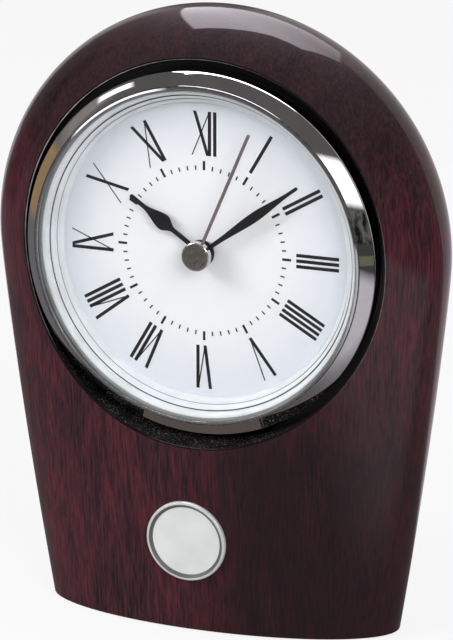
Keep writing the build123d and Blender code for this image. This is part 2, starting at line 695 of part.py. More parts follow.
def door_lugs(front, back, clearance, turn):
    """Two lugs opposite each other, as sectors of a ring about the door's axis."""
    reach = DOOR_R + DOOR_LUG_REACH + clearance
    ring = rod(reach, front, back) - rod(DOOR_R - DOOR_SKIRT, front, back)
    half = DOOR_LUG_ANGLE / 2 + clearance * 4
    far = reach * 2
    wedge_x = far * cos(radians(half))
    wedge_y = far * sin(radians(half))
    wedge = make_face(outline((0, 0), (wedge_x, -wedge_y), (wedge_x, wedge_y)))
    wedge = Pos(0, 0, back) * extrude(wedge, front - back)
    pair = wedge + Rot(0, 0, 180) * wedge
    return Pos(CELL_X, CELL_Y, 0) * Rot(0, 0, 90 + turn) * (ring & pair)


def battery_door():
    """Coin-slotted cap, flush with the cup's back, with a skirt and two lugs behind the wall."""
    lug_front = CUP_FLOOR + DOOR_LUG_THICK
    lug_back = CUP_FLOOR + SIDE_PLAY / 3
    solid = rod(DOOR_R, CUP_FLOOR, CUP_BACK, CELL_AT)
    solid += pipe(DOOR_R, DOOR_R - DOOR_SKIRT, lug_front, CUP_FLOOR, CELL_AT)
    solid += door_lugs(lug_front, lug_back, 0, 0)
    half_length = DOOR_SLOT_LENGTH / 2
    half_width = DOOR_SLOT_WIDTH / 2
    slot = slab(
        CELL_X - half_length, CELL_X + half_length, CELL_Y - half_width, CELL_Y + half_width,
        CUP_BACK + DOOR_SLOT_DEPTH, CUP_BACK,
    )
    return solid - slot


def grip_ring():
    """Rubber ring that holds the insert in the bore, with ribs round its outside."""
    inner = CUP_R + SEAT
    outer = BORE_R - SEAT
    pitch = (GRIP_FRONT - GRIP_BACK) / GRIP_RIBS
    points = [(inner, GRIP_FRONT)]
    for rib in range(GRIP_RIBS):
        front = GRIP_FRONT - pitch * rib
        points.append((outer - GRIP_RIB_DEPTH, front))
        points.append((outer, front - pitch * 0.3))
        points.append((outer, front - pitch * 0.7))
    points.append((outer - GRIP_RIB_DEPTH, GRIP_BACK))
    points.append((inner, GRIP_BACK))
    return turned(outline(*points))


def knob_socket_end():
    """Height where the minute arbor ends inside the setting knob."""
    return CUP_BACK - SIDE_PLAY - KNOB_THICK / 2


def setting_knob():
    front = CUP_BACK - SIDE_PLAY
    solid = rod(KNOB_R, front, front - KNOB_THICK)
    for grip in range(KNOB_GRIPS):
        solid -= rod(KNOB_GRIP_R, front, front - KNOB_THICK, polar(KNOB_R, grip * 360 / KNOB_GRIPS))
    solid -= rod(MINUTE_ARBOR_R + SEAT, front, knob_socket_end())
    return Pos(MINUTE_AT[0], MINUTE_AT[1], 0) * solid


# Movement

def bearing_holes(front, back):
    holes = rod(ARBOR_R + RUN, front, back, THIRD_AT)
    holes += rod(ARBOR_R + RUN, front, back, INTERMEDIATE_AT)
    holes += rod(ARBOR_R + RUN, front, back, ROTOR_AT)
    return holes + rod(MINUTE_ARBOR_R + RUN, front, back, MINUTE_AT)


def stator_ends():
    """The two places where the stator and the coil's core are staked."""
    outward = INTERMEDIATE_DISTANCE + ROTOR_SPACING + COIL_OFFSET
    along = STATOR_LENGTH / 2 - STATOR_LEG / 2
    middle = polar(outward, INTERMEDIATE_ANGLE)
    across = polar(along, INTERMEDIATE_ANGLE + 90)
    return [(middle[0] + side * across[0], middle[1] + side * across[1]) for side in (-1, 1)]


def stator_face():
    return MAGNET_Z - (MAGNET_THICK - STATOR_THICK) / 2


def front_plate():
    """Plate under the dial, with pillars for the rear plate and stakes for the stator."""
    solid = rod(CUP_INNER_R - SEAT, FRONT_PLATE_FACE, FRONT_PLATE_BACK)
    for angle in PILLAR_ANGLES:
        solid += rod(PILLAR_R, FRONT_PLATE_BACK, REAR_PLATE_FACE, polar(PILLAR_CIRCLE_R, angle))
    for end in stator_ends():
        solid += rod(STATOR_BOSS_R, FRONT_PLATE_BACK, stator_face(), end)
        solid += rod(STAKE_R, stator_face(), stator_face() - STATOR_THICK - CORE_THICK, end)
    for angle in PILLAR_ANGLES:
        hole_front = REAR_PLATE_FACE + SCREW_DEPTH
        solid -= rod(SCREW_R + SEAT, hole_front, REAR_PLATE_FACE, polar(PILLAR_CIRCLE_R, angle))
    for angle in POST_ANGLES:
        at = polar(POST_CIRCLE_R, angle)
        solid -= rod(SCREW_R + SEAT, FRONT_PLATE_FACE, FRONT_PLATE_BACK, at)
    solid -= bearing_holes(FRONT_PLATE_FACE, FRONT_PLATE_BACK)
    return solid - rod(MINUTE_TUBE_R + RUN, FRONT_PLATE_FACE, FRONT_PLATE_BACK)


def rear_plate():
    """Plate that carries the rear pivots, cut away round the cell's well and the coil."""
    solid = rod(REAR_PLATE_R, REAR_PLATE_FACE, REAR_PLATE_BACK)
    solid -= rod(WELL_R + WELL_CLEARANCE, REAR_PLATE_FACE, REAR_PLATE_BACK, CELL_AT)
    solid -= bearing_holes(REAR_PLATE_FACE, REAR_PLATE_BACK)
    solid -= rod(SECONDS_ARBOR_R + RUN, REAR_PLATE_FACE, REAR_PLATE_BACK)
    for angle in PILLAR_ANGLES:
        solid -= rod(SCREW_R + SEAT, REAR_PLATE_FACE, REAR_PLATE_BACK, polar(PILLAR_CIRCLE_R, angle))
    inner = INTERMEDIATE_DISTANCE + ROTOR_SPACING + COIL_OFFSET - BOBBIN_CHEEK_R - SIDE_PLAY
    half = STATOR_LENGTH / 2 + SIDE_PLAY
    window = slab(inner, REAR_PLATE_R * 2, -half, half, REAR_PLATE_FACE, REAR_PLATE_BACK)
    return solid - Rot(0, 0, INTERMEDIATE_ANGLE) * window


def screw(head_front, at, towards_front):
    """A pan-headed screw whose head seats at the given height."""
    if towards_front:
        head = rod(SCREW_HEAD_R, head_front, head_front - SCREW_HEAD_THICK, at)
        return head + rod(SCREW_R, head_front + PLATE_THICK + SCREW_DEPTH - SIDE_PLAY, head_front, at)
    head = rod(SCREW_HEAD_R, head_front + SCREW_HEAD_THICK, head_front, at)
    return head + rod(SCREW_R, head_front, head_front - PLATE_THICK - SCREW_DEPTH + SIDE_PLAY, at)


def plate_screws():
    return [screw(FRONT_PLATE_FACE, polar(POST_CIRCLE_R, angle), False) for angle in POST_ANGLES]


def pillar_screws():
    return [screw(REAR_PLATE_BACK, polar(PILLAR_CIRCLE_R, angle), True) for angle in PILLAR_ANGLES]


def stator():
    """Flat iron stator: a bar round the rotor with a leg to the coil's core at each end."""
    face = stator_face()
    back = face - STATOR_THICK
    rotor_x = INTERMEDIATE_DISTANCE + ROTOR_SPACING
    coil_x = rotor_x + COIL_OFFSET
    half = STATOR_LENGTH / 2
    solid = slab(rotor_x - STATOR_WIDTH / 2, rotor_x + STATOR_WIDTH / 2, -half, half, face, back)
    for side in (-1, 1):
        near = side * (half - STATOR_LEG)
        far = side * half
        solid += slab(rotor_x, coil_x + STATOR_LEG / 2, min(near, far), max(near, far), face, back)
    solid = Rot(0, 0, INTERMEDIATE_ANGLE) * solid
    solid -= rod(MAGNET_R + STATOR_GAP, face, back, ROTOR_AT)
    for end in stator_ends():
        solid -= rod(STAKE_R + SEAT, face, back, end)
    return solid


def coil_core():
    """Iron strip through the coil, staked on the stator's legs."""
    front = stator_face() - STATOR_THICK
    coil_x = INTERMEDIATE_DISTANCE + ROTOR_SPACING + COIL_OFFSET
    half = STATOR_LENGTH / 2
    half_width = STATOR_LEG / 2
    solid = slab(coil_x - half_width, coil_x + half_width, -half, half, front, front - CORE_THICK)
    solid = Rot(0, 0, INTERMEDIATE_ANGLE) * solid
    for end in stator_ends():
        solid -= rod(STAKE_R + SEAT, front, front - CORE_THICK, end)
    return solid


def coil():
    """Bobbin with two cheeks, wound full, round the core."""
    front = stator_face() - STATOR_THICK
    coil_x = INTERMEDIATE_DISTANCE + ROTOR_SPACING + COIL_OFFSET
    half = COIL_LENGTH / 2
    axis = Pos(coil_x, 0, front - CORE_THICK / 2) * Rot(90, 0, 0)
    solid = axis * Cylinder(COIL_R, COIL_LENGTH)
    for side in (-1, 1):
        middle = side * (half - BOBBIN_CHEEK / 2)
        solid += axis * Pos(0, 0, middle) * Cylinder(BOBBIN_CHEEK_R, BOBBIN_CHEEK)
    half_width = STATOR_LEG / 2 + SEAT
    slot = slab(coil_x - half_width, coil_x + half_width, -half, half, front + SEAT, front - CORE_THICK - SEAT)
    return Rot(0, 0, INTERMEDIATE_ANGLE) * (solid - slot)


# Electrics

def circuit_board():
    return slab(BOARD_LEFT, BOARD_RIGHT, BOARD_LOW, BOARD_HIGH, REAR_PLATE_BACK, BOARD_BACK)


def drive_chip():
    chip_y = (BOARD_LOW + BOARD_HIGH) / 2
    blob = rod(CHIP_R, BOARD_BACK, BOARD_BACK - CHIP_THICK, (CHIP_X, chip_y))
    return fillet(blob.edges().group_by(Axis.Z)[0], CHIP_THICK * 0.8)


def quartz_crystal():
    """A tuning-fork crystal's can, lying on the board."""
    can = Rot(0, 90, 0) * Cylinder(CRYSTAL_R, CRYSTAL_LENGTH)
    can = fillet(can.edges().group_by(Axis.X)[-1], CRYSTAL_R * 0.3)
    return Pos(CRYSTAL_X, CRYSTAL_Y, BOARD_BACK - CRYSTAL_R) * can


def battery_cell():
    """Button cell: can towards the door, smaller button towards the well's floor."""
    can = rod(CELL_R, CELL_FRONT - CELL_BUTTON_THICK, CELL_BACK, CELL_AT)
    return can + rod(CELL_BUTTON_R, CELL_FRONT, CELL_FRONT - CELL_BUTTON_THICK, CELL_AT)


def negative_x():
    return CELL_X - CONTACT_SPACING


def positive_x():
    return CELL_X


def contact_negative():
    """Spring strip under the cell's button, led up outside the well and over the board."""
    x = negative_x()
    half = CONTACT_WIDTH / 2
    riser_y = CELL_Y + WELL_R + WELL_WALL
    riser_end = riser_y + CONTACT_THICK
    solid = slab(x - half, CELL_X, CELL_Y, CELL_Y + CONTACT_WIDTH, WELL_FLOOR_FACE, CELL_FRONT)
    solid += slab(x - half, x + half, CELL_Y, riser_end, WELL_FLOOR_FACE, CELL_FRONT)
    solid += slab(x - half, x + half, riser_y, riser_end, WELL_FLOOR_FACE, BOARD_BACK - CONTACT_THICK)
    return solid + contact_tail(x, riser_y)


def contact_positive():
    """Spring strip beside the cell's can, led over the well's edge to the board."""
    x = positive_x()
    half = CONTACT_WIDTH / 2
    side_y = CELL_Y + CELL_R + SEAT
    low = CELL_BACK + CONTACT_THICK
    high = CELL_FRONT - CELL_BUTTON_THICK * 2
    solid = slab(x - half, x + half, side_y, side_y + CONTACT_THICK, high, low)
    return solid + contact_tail(x, side_y)


def contact_tail(x, y):
    half = CONTACT_WIDTH / 2
    return slab(x - half, x + half, y, BOARD_LOW + CONTACT_LAP, BOARD_BACK, BOARD_BACK - CONTACT_THICK)


# Pieces of the insert and movement are drawn about the dial's axis and then set in the case
CASE_PIECES = {
    "wood_case": wood_case,
    "base_felt": base_felt,
    "medallion_cup": medallion_cup,
    "medallion_plate": medallion_plate,
}
INSERT_PIECES = {
    "bezel": bezel,
    "lens": lens,
    "lens_gasket": lens_gasket,
    "chapter_ring": chapter_ring,
    "dial": dial,
    "hour_hand": hour_hand,
    "minute_hand": minute_hand,
    "second_hand": second_hand,
    "insert_cup": insert_cup,
    "grip_ring": grip_ring,
    "battery_door": battery_door,
    "setting_knob": setting_knob,
    "front_plate": front_plate,
    "rear_plate": rear_plate,
    "plate_screws": plate_screws,
    "pillar_screws": pillar_screws,
    "hour_wheel": hour_wheel,
    "minute_tube": minute_tube,
    "minute_wheel": minute_wheel,
    "centre_wheel": centre_wheel,
    "third_wheel": third_wheel,
    "seconds_wheel": seconds_wheel,
    "intermediate_wheel": intermediate_wheel,
    "rotor": rotor,
    "stator": stator,
    "coil_core": coil_core,
    "coil": coil,
    "circuit_board": circuit_board,
    "drive_chip": drive_chip,
    "quartz_crystal": quartz_crystal,
    "battery_cell": battery_cell,
    "contact_negative": contact_negative,
    "contact_positive": contact_positive,
}


def as_solids(shape):
    """One solid as itself, several as a compound, so that each node is plain to read back."""
    solids = shape.solids() if not isinstance(shape, list) else [s for item in shape for s in item.solids()]
    return solids[0] if len(solids) == 1 else Compound(children=solids)


os.makedirs("parts", exist_ok=True)
for name, make in CASE_PIECES.items():
    export_step(as_solids(make()), f"parts/{name}.step")
for name, make in INSERT_PIECES.items():
    piece = as_solids(make())
    export_step(FRONT.location * piece, f"parts/{name}.step")
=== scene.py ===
"""Arched wooden desk clock: its visible shapes, finishes and studio stage, round the packed solids.

Lengths are metres. The dial's own frame has x to the right, y up and z towards the viewer, from the
middle of the dial's face. Angles round the dial run clockwise from twelve.
"""

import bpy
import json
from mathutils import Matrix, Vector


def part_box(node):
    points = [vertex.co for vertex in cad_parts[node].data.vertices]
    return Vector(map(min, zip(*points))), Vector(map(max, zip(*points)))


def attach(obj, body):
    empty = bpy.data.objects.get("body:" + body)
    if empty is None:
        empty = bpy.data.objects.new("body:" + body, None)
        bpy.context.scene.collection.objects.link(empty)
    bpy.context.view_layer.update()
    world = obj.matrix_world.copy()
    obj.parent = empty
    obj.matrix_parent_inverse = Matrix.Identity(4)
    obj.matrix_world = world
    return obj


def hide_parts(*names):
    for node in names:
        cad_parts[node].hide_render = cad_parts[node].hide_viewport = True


bl_info = {
    "name": "Arched Desk Clock",
    "version": (1, 0, 0),
    "blender": (4, 5, 0),
    "location": "3D View > Sidebar > Desk Clock",
    "description": "Builds the visible pieces, finishes and stage of an arched wooden desk clock",
    "category": "Object",
}

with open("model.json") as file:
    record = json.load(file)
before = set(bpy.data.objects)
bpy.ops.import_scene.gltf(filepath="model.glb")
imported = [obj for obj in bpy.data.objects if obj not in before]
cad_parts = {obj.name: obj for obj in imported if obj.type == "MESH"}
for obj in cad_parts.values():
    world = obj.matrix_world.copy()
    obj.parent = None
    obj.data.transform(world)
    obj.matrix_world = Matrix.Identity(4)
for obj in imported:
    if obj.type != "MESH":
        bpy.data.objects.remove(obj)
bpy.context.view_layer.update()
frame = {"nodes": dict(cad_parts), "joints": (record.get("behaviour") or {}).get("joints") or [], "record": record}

import json
import math

import bmesh
import bpy
import numpy as np
from bpy.props import FloatProperty, FloatVectorProperty, IntProperty, PointerProperty
from mathutils import Matrix, Vector

MM = 0.001
FIXED_BODY = "clock"
WELD = 0.5e-6
SMALL_ROUND = 0.1 * MM
JOINTS = {joint["name"]: joint for joint in frame["joints"]}
SLOT_COLOURS = {entry["slot"]: entry["base_color"] for entry in frame["record"]["materials"]}


def node_size(node):
    """Width, depth and height of a packed solid."""
    low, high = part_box(node)
    return high - low


def front_height(node):
    """Height of a packed solid's front over the dial's face."""
    return DIAL_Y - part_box(node)[0].y


def back_height(node):
    """Height of a packed solid's back over the dial's face, negative behind it."""
    return DIAL_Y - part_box(node)[1].y


AXIS_X, DIAL_Y, DIAL_Z = JOINTS["second_hand_turn"]["pos_m"]
CASE_R = node_size("wood_case").x / 2
CASE_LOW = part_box("wood_case")[0].z
CASE_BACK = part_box("wood_case")[1].y
BEZEL_R = node_size("bezel").x / 2
LENS_R = node_size("lens").x / 2
STACK_R = node_size("chapter_ring").x / 2
PLATE_R = node_size("medallion_plate").x / 2
CUP_R = node_size("medallion_cup").x / 2


def length(name, description, millimetres):
    """Size that the user may change, given here in millimetres."""
    return FloatProperty(name=name, description=description, default=millimetres * MM, unit="LENGTH",
                         precision=5)


def colour(name, description, default):
    """Colour that the user may change, in linear light."""
    return FloatVectorProperty(name=name, description=description, default=default, size=3,
                               subtype="COLOR", min=0.0, max=1.0)


def plain(name, description, default):
    """Number without a unit that the user may change."""
    return FloatProperty(name=name, description=description, default=default, precision=4)


def degrees(name, description, default):
    """Angle that the user may change, given here in degrees."""
    return FloatProperty(name=name, description=description, default=math.radians(default), subtype="ANGLE")


class ClockCaseSizes(bpy.types.PropertyGroup):
    """Sizes of the wooden case and the felt under it."""

    base_half_width: length("Base half width", "Half of the case's width at its base", 45.7)
    side_bow: length("Side bow", "How far the tapering sides stand out of a straight line", 1.0)
    side_blend: length("Side blend", "Length over which the arch eases into the sides", 5.21)
    front_bow: length("Front bow", "Crown of the front at the dial's height", 22.4)
    front_bow_base: length("Front bow at base", "Crown of the front at the base", 17.2)
    front_blend: length("Front blend", "Length over which the front's lean sets in", 5.0)
    widest_behind: length("Widest plane", "How far behind the dial the case is widest", 11.4)
    back_round: length("Back round", "How far in from the side the back's roundover reaches", 19.5)
    recess_gap: length("Recess gap", "Open ring between the bezel and the recess", 2.3)
    recess_squeeze: length("Recess squeeze", "How much closer the recess lies at both sides", 0.9)
    recess_depth: length("Recess depth", "Recess floor behind the dial's face", 1.4)
    rim_round: length("Rim round", "Softened edge of the recess", 0.5)
    bore_radius: length("Bore radius", "Hole through the case behind the dial", 39.68)
    felt_inset: length("Felt inset", "Felt's edge, in from the base's edge", 5.0)
    felt_round: length("Felt round", "Rounding of the felt's lower edge", 0.35)


class ClockInsertSizes(bpy.types.PropertyGroup):
    """Sizes of the metal and plastic rings, the lens, the medallion and the second hand."""

    bezel_wall: length("Bezel wall", "Thickness of the bezel's wall", 3.0)
    bezel_lip: length("Bezel lip", "How far the bezel's lip reaches over the lens", 0.9)
    bezel_lip_thick: length("Bezel lip thickness", "Thickness of that lip", 0.6)
    bezel_ridge: length("Bezel ridge", "Where the sloping band starts, over the dial's face", 3.9)
    bezel_swell: length("Bezel swell", "How far the sloping band stands out of its chord", 0.08)
    bezel_ridge_round: length("Ridge round", "Rounding of the ridge outside the band", 0.7)
    bezel_shoulder: length("Bezel shoulder", "Width of the flatter strip next to the lip", 0.8)
    bezel_shoulder_drop: length("Shoulder drop", "How far that strip's edge lies below the slope", 0.35)
    bezel_foot_round: length("Bezel foot round", "Rounding of the bezel's outer edge at the back", 0.3)
    bezel_shoulder_round: length("Shoulder round", "Rounding between the band and the flatter strip", 1.5)
    lens_thick: length("Lens thickness", "Thickness of the domed lens", 1.4)
    lens_rise: length("Lens rise", "How far the lens domes up", 2.2)
    chapter_width: length("Ring width", "Width of the stepped white ring", 3.7)
    chapter_land: length("Ring land", "Flat outer land of the white ring, under the seal", 1.5)
    chapter_lean: length("Riser lean", "How far each riser of the ring leans out", 0.3)
    chapter_round: length("Riser round", "Rounding at the top of each riser", 0.14)
    line_rise: length("Line rise", "How much a dark line rises to the foot of the next riser", 0.02)
    chapter_steps: IntProperty(name="Ring steps", description="Steps of the white ring", default=3)
    reeding_count: IntProperty(name="Reeding", description="Fine ribs round the white ring", default=360)
    reeding_depth: length("Reeding depth", "Depth of the fine ribs", 0.09)
    line_width: length("Shadow line", "Usual width of the dark line at the foot of a riser", 0.16)
    medallion_rim: length("Medallion rim", "Width of the medallion's raised rim", 0.9)
    medallion_crest: length("Medallion crest", "Width of the bright round edge", 0.65)
    medallion_slope: length("Medallion slope", "Width of the grey slope inside the rim's crest", 0.85)
    medallion_round: length("Medallion round", "Rounding of the rim's outer edge", 0.48)
    medallion_proud: length("Medallion rise", "How far the rim stands off the wood", 0.9)
    medallion_depth: length("Medallion depth", "How deep the cup sits in the wood", 1.4)
    medallion_floor: length("Medallion floor", "Thickness of the cup's floor", 1.0)
    plate_thick: length("Plate thickness", "Thickness of the bare plate", 0.68)
    plate_round: length("Plate round", "Rounding of the plate's edge", 0.15)
    cap_radius: length("Cap radius", "Cap in the middle of the second hand", 3.6)
    cap_height: length("Cap height", "Cap's face over the dial", 6.0)
    cap_edge: length("Cap edge", "Rounded bright edge of the cap", 0.4)
    second_width: length("Second hand width", "Width of the second hand", 0.8)
    second_height: length("Second hand height", "Second hand's underside over the dial", 4.3)
    second_thick: length("Second hand thickness", "Thickness of the second hand", 0.35)
    second_length: length("Second hand length", "From the middle to the tip", 33.6)
    second_angle: degrees("Second hand angle", "Clockwise from twelve", 23.5)


class ClockDialMarks(bpy.types.PropertyGroup):
    """Sizes of what is printed on the dial."""

    print_turn: degrees("Print turn", "How far the dial is set round in the case, clockwise", 0.45)
    tick_radius: length("Tick circle", "Radius of the ring of minute ticks", 20.6)
    tick_width: length("Tick width", "Width of a minute tick", 0.35)
    tick_length: length("Tick length", "Length of a minute tick", 1.1)
    hour_tick_width: length("Hour tick width", "Width of an hour tick", 0.62)
    hour_tick_length: length("Hour tick length", "Length of an hour tick", 2.27)
    numeral_foot: length("Numeral foot", "Radius of the numerals' feet", 23.62)
    numeral_height: length("Numeral height", "Height of the numerals", 10.85)
    thick_stroke: plain("Thick stroke", "Thick stroke, as a share of the height", 0.077)
    thin_stroke: plain("Thin stroke", "Thin stroke, as a share of the height", 0.028)
    ink_height: length("Ink height", "How far the print stands off the dial", 0.03)


class ClockFinishes(bpy.types.PropertyGroup):
    """Colours of the clock's own finishes, with the painted shade and highlights laid on some of them."""

    wood_dark: colour("Dark grain", "Darkest streaks of the wood", (0.008, 0.004, 0.005))
    wood_brown: colour("Brown grain", "Middle tone of the wood", (0.052, 0.015, 0.021))
    wood_red: colour("Red grain", "Reddest streaks of the wood", (0.14, 0.018, 0.030))
    wood_arch: colour("Arch grain", "Plainer tone of the wood over the arch", (0.027, 0.013, 0.017))
    lacquer: colour("Recess lacquer", "Black lacquer inside the recess", (0.001, 0.001, 0.0012))
    # Painted highlight: the pale tone laid along the recess's edge where it faces down and right.
    rim: colour("Recess rim", "Rubbed edge of the recess", (0.60, 0.56, 0.54))
    dust: colour("Dust", "Dust on the recess's ledge", (0.34, 0.32, 0.31))
    polished: colour("Polished metal", "Bezel and medallion rim", (0.80, 0.79, 0.80))
    plate: colour("Medallion plate", "Bare satin plate", (0.97, 0.98, 0.98))
    slope: colour("Medallion slope", "Grey slope inside the medallion's rim", (0.21, 0.22, 0.205))
    ring: colour("White ring", "Stepped ring round the dial", (0.78, 0.81, 0.84))
    # Painted shadow at the foot of each step of the white ring.
    ring_shadow_line: colour("Ring line", "Dark line at the foot of each step", (0.03, 0.03, 0.035))
    dial: colour("Dial", "White face of the dial", (0.80, 0.81, 0.83))
    # Painted shade towards the dial's edge, by the ring and bezel.
    dial_edge_shade: colour("Dial rim", "Greyer edge of the dial", (0.66, 0.70, 0.76))
    ink: colour("Ink", "Print on the dial", (0.006, 0.006, 0.007))
    hands: colour("Hands", "Hour and minute hands", (0.005, 0.005, 0.0055))
    second: colour("Second hand", "Second hand", (0.19, 0.145, 0.15))
    cap: colour("Cap", "Face of the second hand's cap", (0.20, 0.175, 0.155))
    # Partly painted light: paler than black rubber, standing in for light on the bezel's lip.
    seal: colour("Seal", "Rubber seal under the lens", (0.28, 0.29, 0.29))
    felt: colour("Felt", "Felt under the base", (0.012, 0.012, 0.013))


class ClockStageSettings(bpy.types.PropertyGroup):
    """Camera, lamps and floor."""

    camera_place: FloatVectorProperty(name="Camera", description="Where the camera stands", size=3,
                                      default=(0.3531, -0.8819, 0.3544), subtype="TRANSLATION",
                                      unit="LENGTH")
    camera_turn: degrees("Camera turn", "How far the view turns from straight ahead to the left", 21.688)
    camera_tilt: degrees("Camera tilt", "How far the view looks down", 16.33)
    camera_roll: degrees("Camera roll", "How far the camera leans to its right", 0.427)
    camera_lens: plain("Lens", "Focal length in millimetres", 228.74)
    floor_half: length("Floor", "Half of the floor's width", 8000.0)
    floor_pale: plain("Floor tone", "Tone of the floor as the camera sees it", 0.95)
    floor_bounce: plain("Floor bounce", "Tone of the floor as the clock sees it", 0.46)
    floor_lift: plain("Floor lift", "Share of the floor that is plain white to the camera", 0.85)
    ambient: plain("Ambient", "Soft light from all round", 0.30)
    surround_front: plain("Surround in front", "Tone of the room in front, in reflections", 0.11)
    mirror_front: plain("Floor in front", "Tone of the floor in front, in reflections", 0.15)
    mirror_right: plain("Floor to the right", "Tone of the floor to the right, in reflections", 0.55)
    mirror_back: plain("Floor behind", "Tone of the floor and the room behind, in reflections", 0.85)


def unit(vectors):
    """Vectors scaled to length one, along the last axis."""
    size = np.linalg.norm(vectors, axis=-1, keepdims=True)
    return vectors / np.maximum(size, 1e-12)


def grid(points, round_columns=True, round_rows=True, finish=0):
    """Grid of points as a surface: each column and row is joined to the next by quads, and the last to the
    first where it goes round. finish is the material number, one for all rows or one for each strip."""
    columns, rows = points.shape[:2]
    column = np.arange(columns if round_columns else columns - 1)[:, None]
    row = np.arange(rows if round_rows else rows - 1)[None, :]
    next_column = (column + 1) % columns
    next_row = (row + 1) % rows
    corners = [column * rows + row, next_column * rows + row,
               next_column * rows + next_row, column * rows + next_row]
    quads = np.stack(np.broadcast_arrays(*corners), axis=-1)
    numbers = np.broadcast_to(np.asarray(finish, int), quads.shape[:2])
    return points.reshape(-1, 3), quads.reshape(-1, 4), numbers.ravel()


def join(surfaces):
    """Several surfaces as one list of points, quads and material numbers."""
    counts = np.cumsum([0] + [len(points) for points, quads, numbers in surfaces])
    points = np.concatenate([surface[0] for surface in surfaces])
    quads = np.concatenate([surface[1] + start for surface, start in zip(surfaces, counts)])
    numbers = np.concatenate([surface[2] for surface in surfaces])
    return points, quads, numbers


def make_piece(name, surfaces, materials, body, nodes=(), crease=32.0):
    """Mesh object from surfaces: doubles are welded, faces turned outwards, and edges that bend by more
    than the crease angle are kept sharp."""
    points, quads, numbers = join(surfaces)
    mesh = bpy.data.meshes.new(name)
    mesh.from_pydata(points.tolist(), [], quads.tolist())
    mesh.polygons.foreach_set("material_index", numbers.astype(np.int32))
    work = bmesh.new()
    work.from_mesh(mesh)
    bmesh.ops.remove_doubles(work, verts=work.verts, dist=WELD)
    bmesh.ops.recalc_face_normals(work, faces=work.faces)
    work.to_mesh(mesh)
    work.free()
    mesh.polygons.foreach_set("use_smooth", np.ones(len(mesh.polygons), bool))
    mesh.set_sharp_from_angle(angle=math.radians(crease))
    for material in materials:
        mesh.materials.append(material)
    piece = bpy.data.objects.new(name, mesh)
    bpy.context.scene.collection.objects.link(piece)
    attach(piece, body)
    if nodes:
        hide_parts(*nodes)
    return piece


def rounded(corners, radii, steps=6):
    """Closed outline with its corners rounded: each corner becomes an arc that touches both of its sides,
    with one more point beside each end of the arc, so that the flats next to it shade flat."""
    corners = np.asarray(corners, float)
    radii = np.asarray(radii, float)
    back = unit(np.roll(corners, 1, axis=0) - corners)
    on = unit(np.roll(corners, -1, axis=0) - corners)
    half = np.arccos(np.clip((back * on).sum(axis=1), -1.0, 1.0)) / 2
    reach = (radii / np.tan(half))[:, None]
    middle = corners + unit(back + on) * (radii / np.sin(half))[:, None]
    turn = (math.pi - 2 * half)[:, None]
    share = np.linspace(0.0, 1.0, steps + 1)[None, :]
    scale = np.maximum(np.sin(turn), 1e-9)
    from_start = (np.sin((1 - share) * turn) / scale)[..., None]
    from_end = (np.sin(share * turn) / scale)[..., None]
    start = corners + back * reach
    end = corners + on * reach
    arcs = middle[:, None] + from_start * (start - middle)[:, None] + from_end * (end - middle)[:, None]
    beside = radii[:, None] * 0.2
    before = (start + back * beside)[:, None]
    after = (end + on * beside)[:, None]
    return np.concatenate([before, arcs, after], axis=1).reshape(-1, 2)


def swelling_arc(start, end, swell, count):
    """Circular arc from start to end that stands out of its chord by swell, to the chord's right."""
    start, end = np.asarray(start, float), np.asarray(end, float)
    along = unit(end - start)
    out = np.array([along[1], -along[0]])
    half = np.linalg.norm(end - start) / 2
    radius = (half ** 2 + swell ** 2) / (2 * swell)
    centre = (start + end) / 2 - out * (radius - swell)
    reach = math.asin(half / radius)
    angles = np.linspace(-reach, reach, count)[:, None]
    return centre + radius * (out * np.cos(angles) + along * np.sin(angles))


DIAL_PLACE = (np.array([AXIS_X, DIAL_Y, DIAL_Z]), np.array([[1.0, 0, 0], [0, 0, 1.0], [0, -1.0, 0]]))


def placed(local, place):
    """Points of a local frame carried into the clock's frame."""
    origin, axes = place
    return local @ axes + origin


def turned(profile, place, columns, ripple=None):
    """Profile of radius and height carried round an axis: x is the radius times the sine of the angle, y
    the radius times its cosine, and z the height. ripple adds to the radius, for each angle and point."""
    angles = np.linspace(0.0, 2 * math.pi, columns, endpoint=False)[:, None]
    radius = profile[None, :, 0] + (0.0 if ripple is None else ripple(angles))
    height = np.broadcast_to(profile[None, :, 1], radius.shape if ripple else (columns, len(profile)))
    local = np.stack([radius * np.sin(angles), radius * np.cos(angles), height], axis=-1)
    return placed(local, place)


def prisms(outlines, low, high, place):
    """Flat four-cornered outlines in the dial's frame, each raised from low to high as a closed block."""
    count = len(outlines)
    ends = [np.concatenate([outlines, np.full((count, 4, 1), height)], axis=-1) for height in (low, high)]
    points = placed(np.concatenate(ends, axis=1).reshape(-1, 3), place)
    block = np.array([[3, 2, 1, 0], [4, 5, 6, 7], [0, 1, 5, 4], [1, 2, 6, 5], [2, 3, 7, 6], [3, 0, 4, 7]])
    quads = (np.arange(count)[:, None, None] * 8 + block).reshape(-1, 4)
    return points, quads, np.zeros(len(quads), int)


def rgba(rgb):
    """Colour with full opacity."""
    return (rgb[0], rgb[1], rgb[2], 1.0)


def shade(tone, share):
    """Colour made darker, or paler with a share over one."""
    return tuple(share * part for part in tone)


def new_material(name):
    """Empty node material with its tree."""
    material = bpy.data.materials.new(name)
    material.use_nodes = True
    material.node_tree.nodes.clear()
    return material, material.node_tree


def add(tree, kind, inputs=None, **choices):
    """New node with its choices set, and each input set to a value or linked to a socket."""
    node = tree.nodes.new(kind)
    for key, value in choices.items():
        setattr(node, key, value)
    for key, value in (inputs or {}).items():
        if isinstance(value, bpy.types.NodeSocket):
            tree.links.new(value, node.inputs[key])
        else:
            node.inputs[key].default_value = value
    return node


def components(tree, vector):
    """The X, Y and Z of a vector."""
    return add(tree, "ShaderNodeSeparateXYZ", {0: vector}).outputs


def object_coordinates(tree, scale=(1.0, 1.0, 1.0), turn=(0.0, 0.0, 0.0)):
    """Object coordinates, turned and stretched for a pattern."""
    source = add(tree, "ShaderNodeTexCoord").outputs["Object"]
    return add(tree, "ShaderNodeMapping", {"Vector": source, "Scale": scale, "Rotation": turn}).outputs[0]


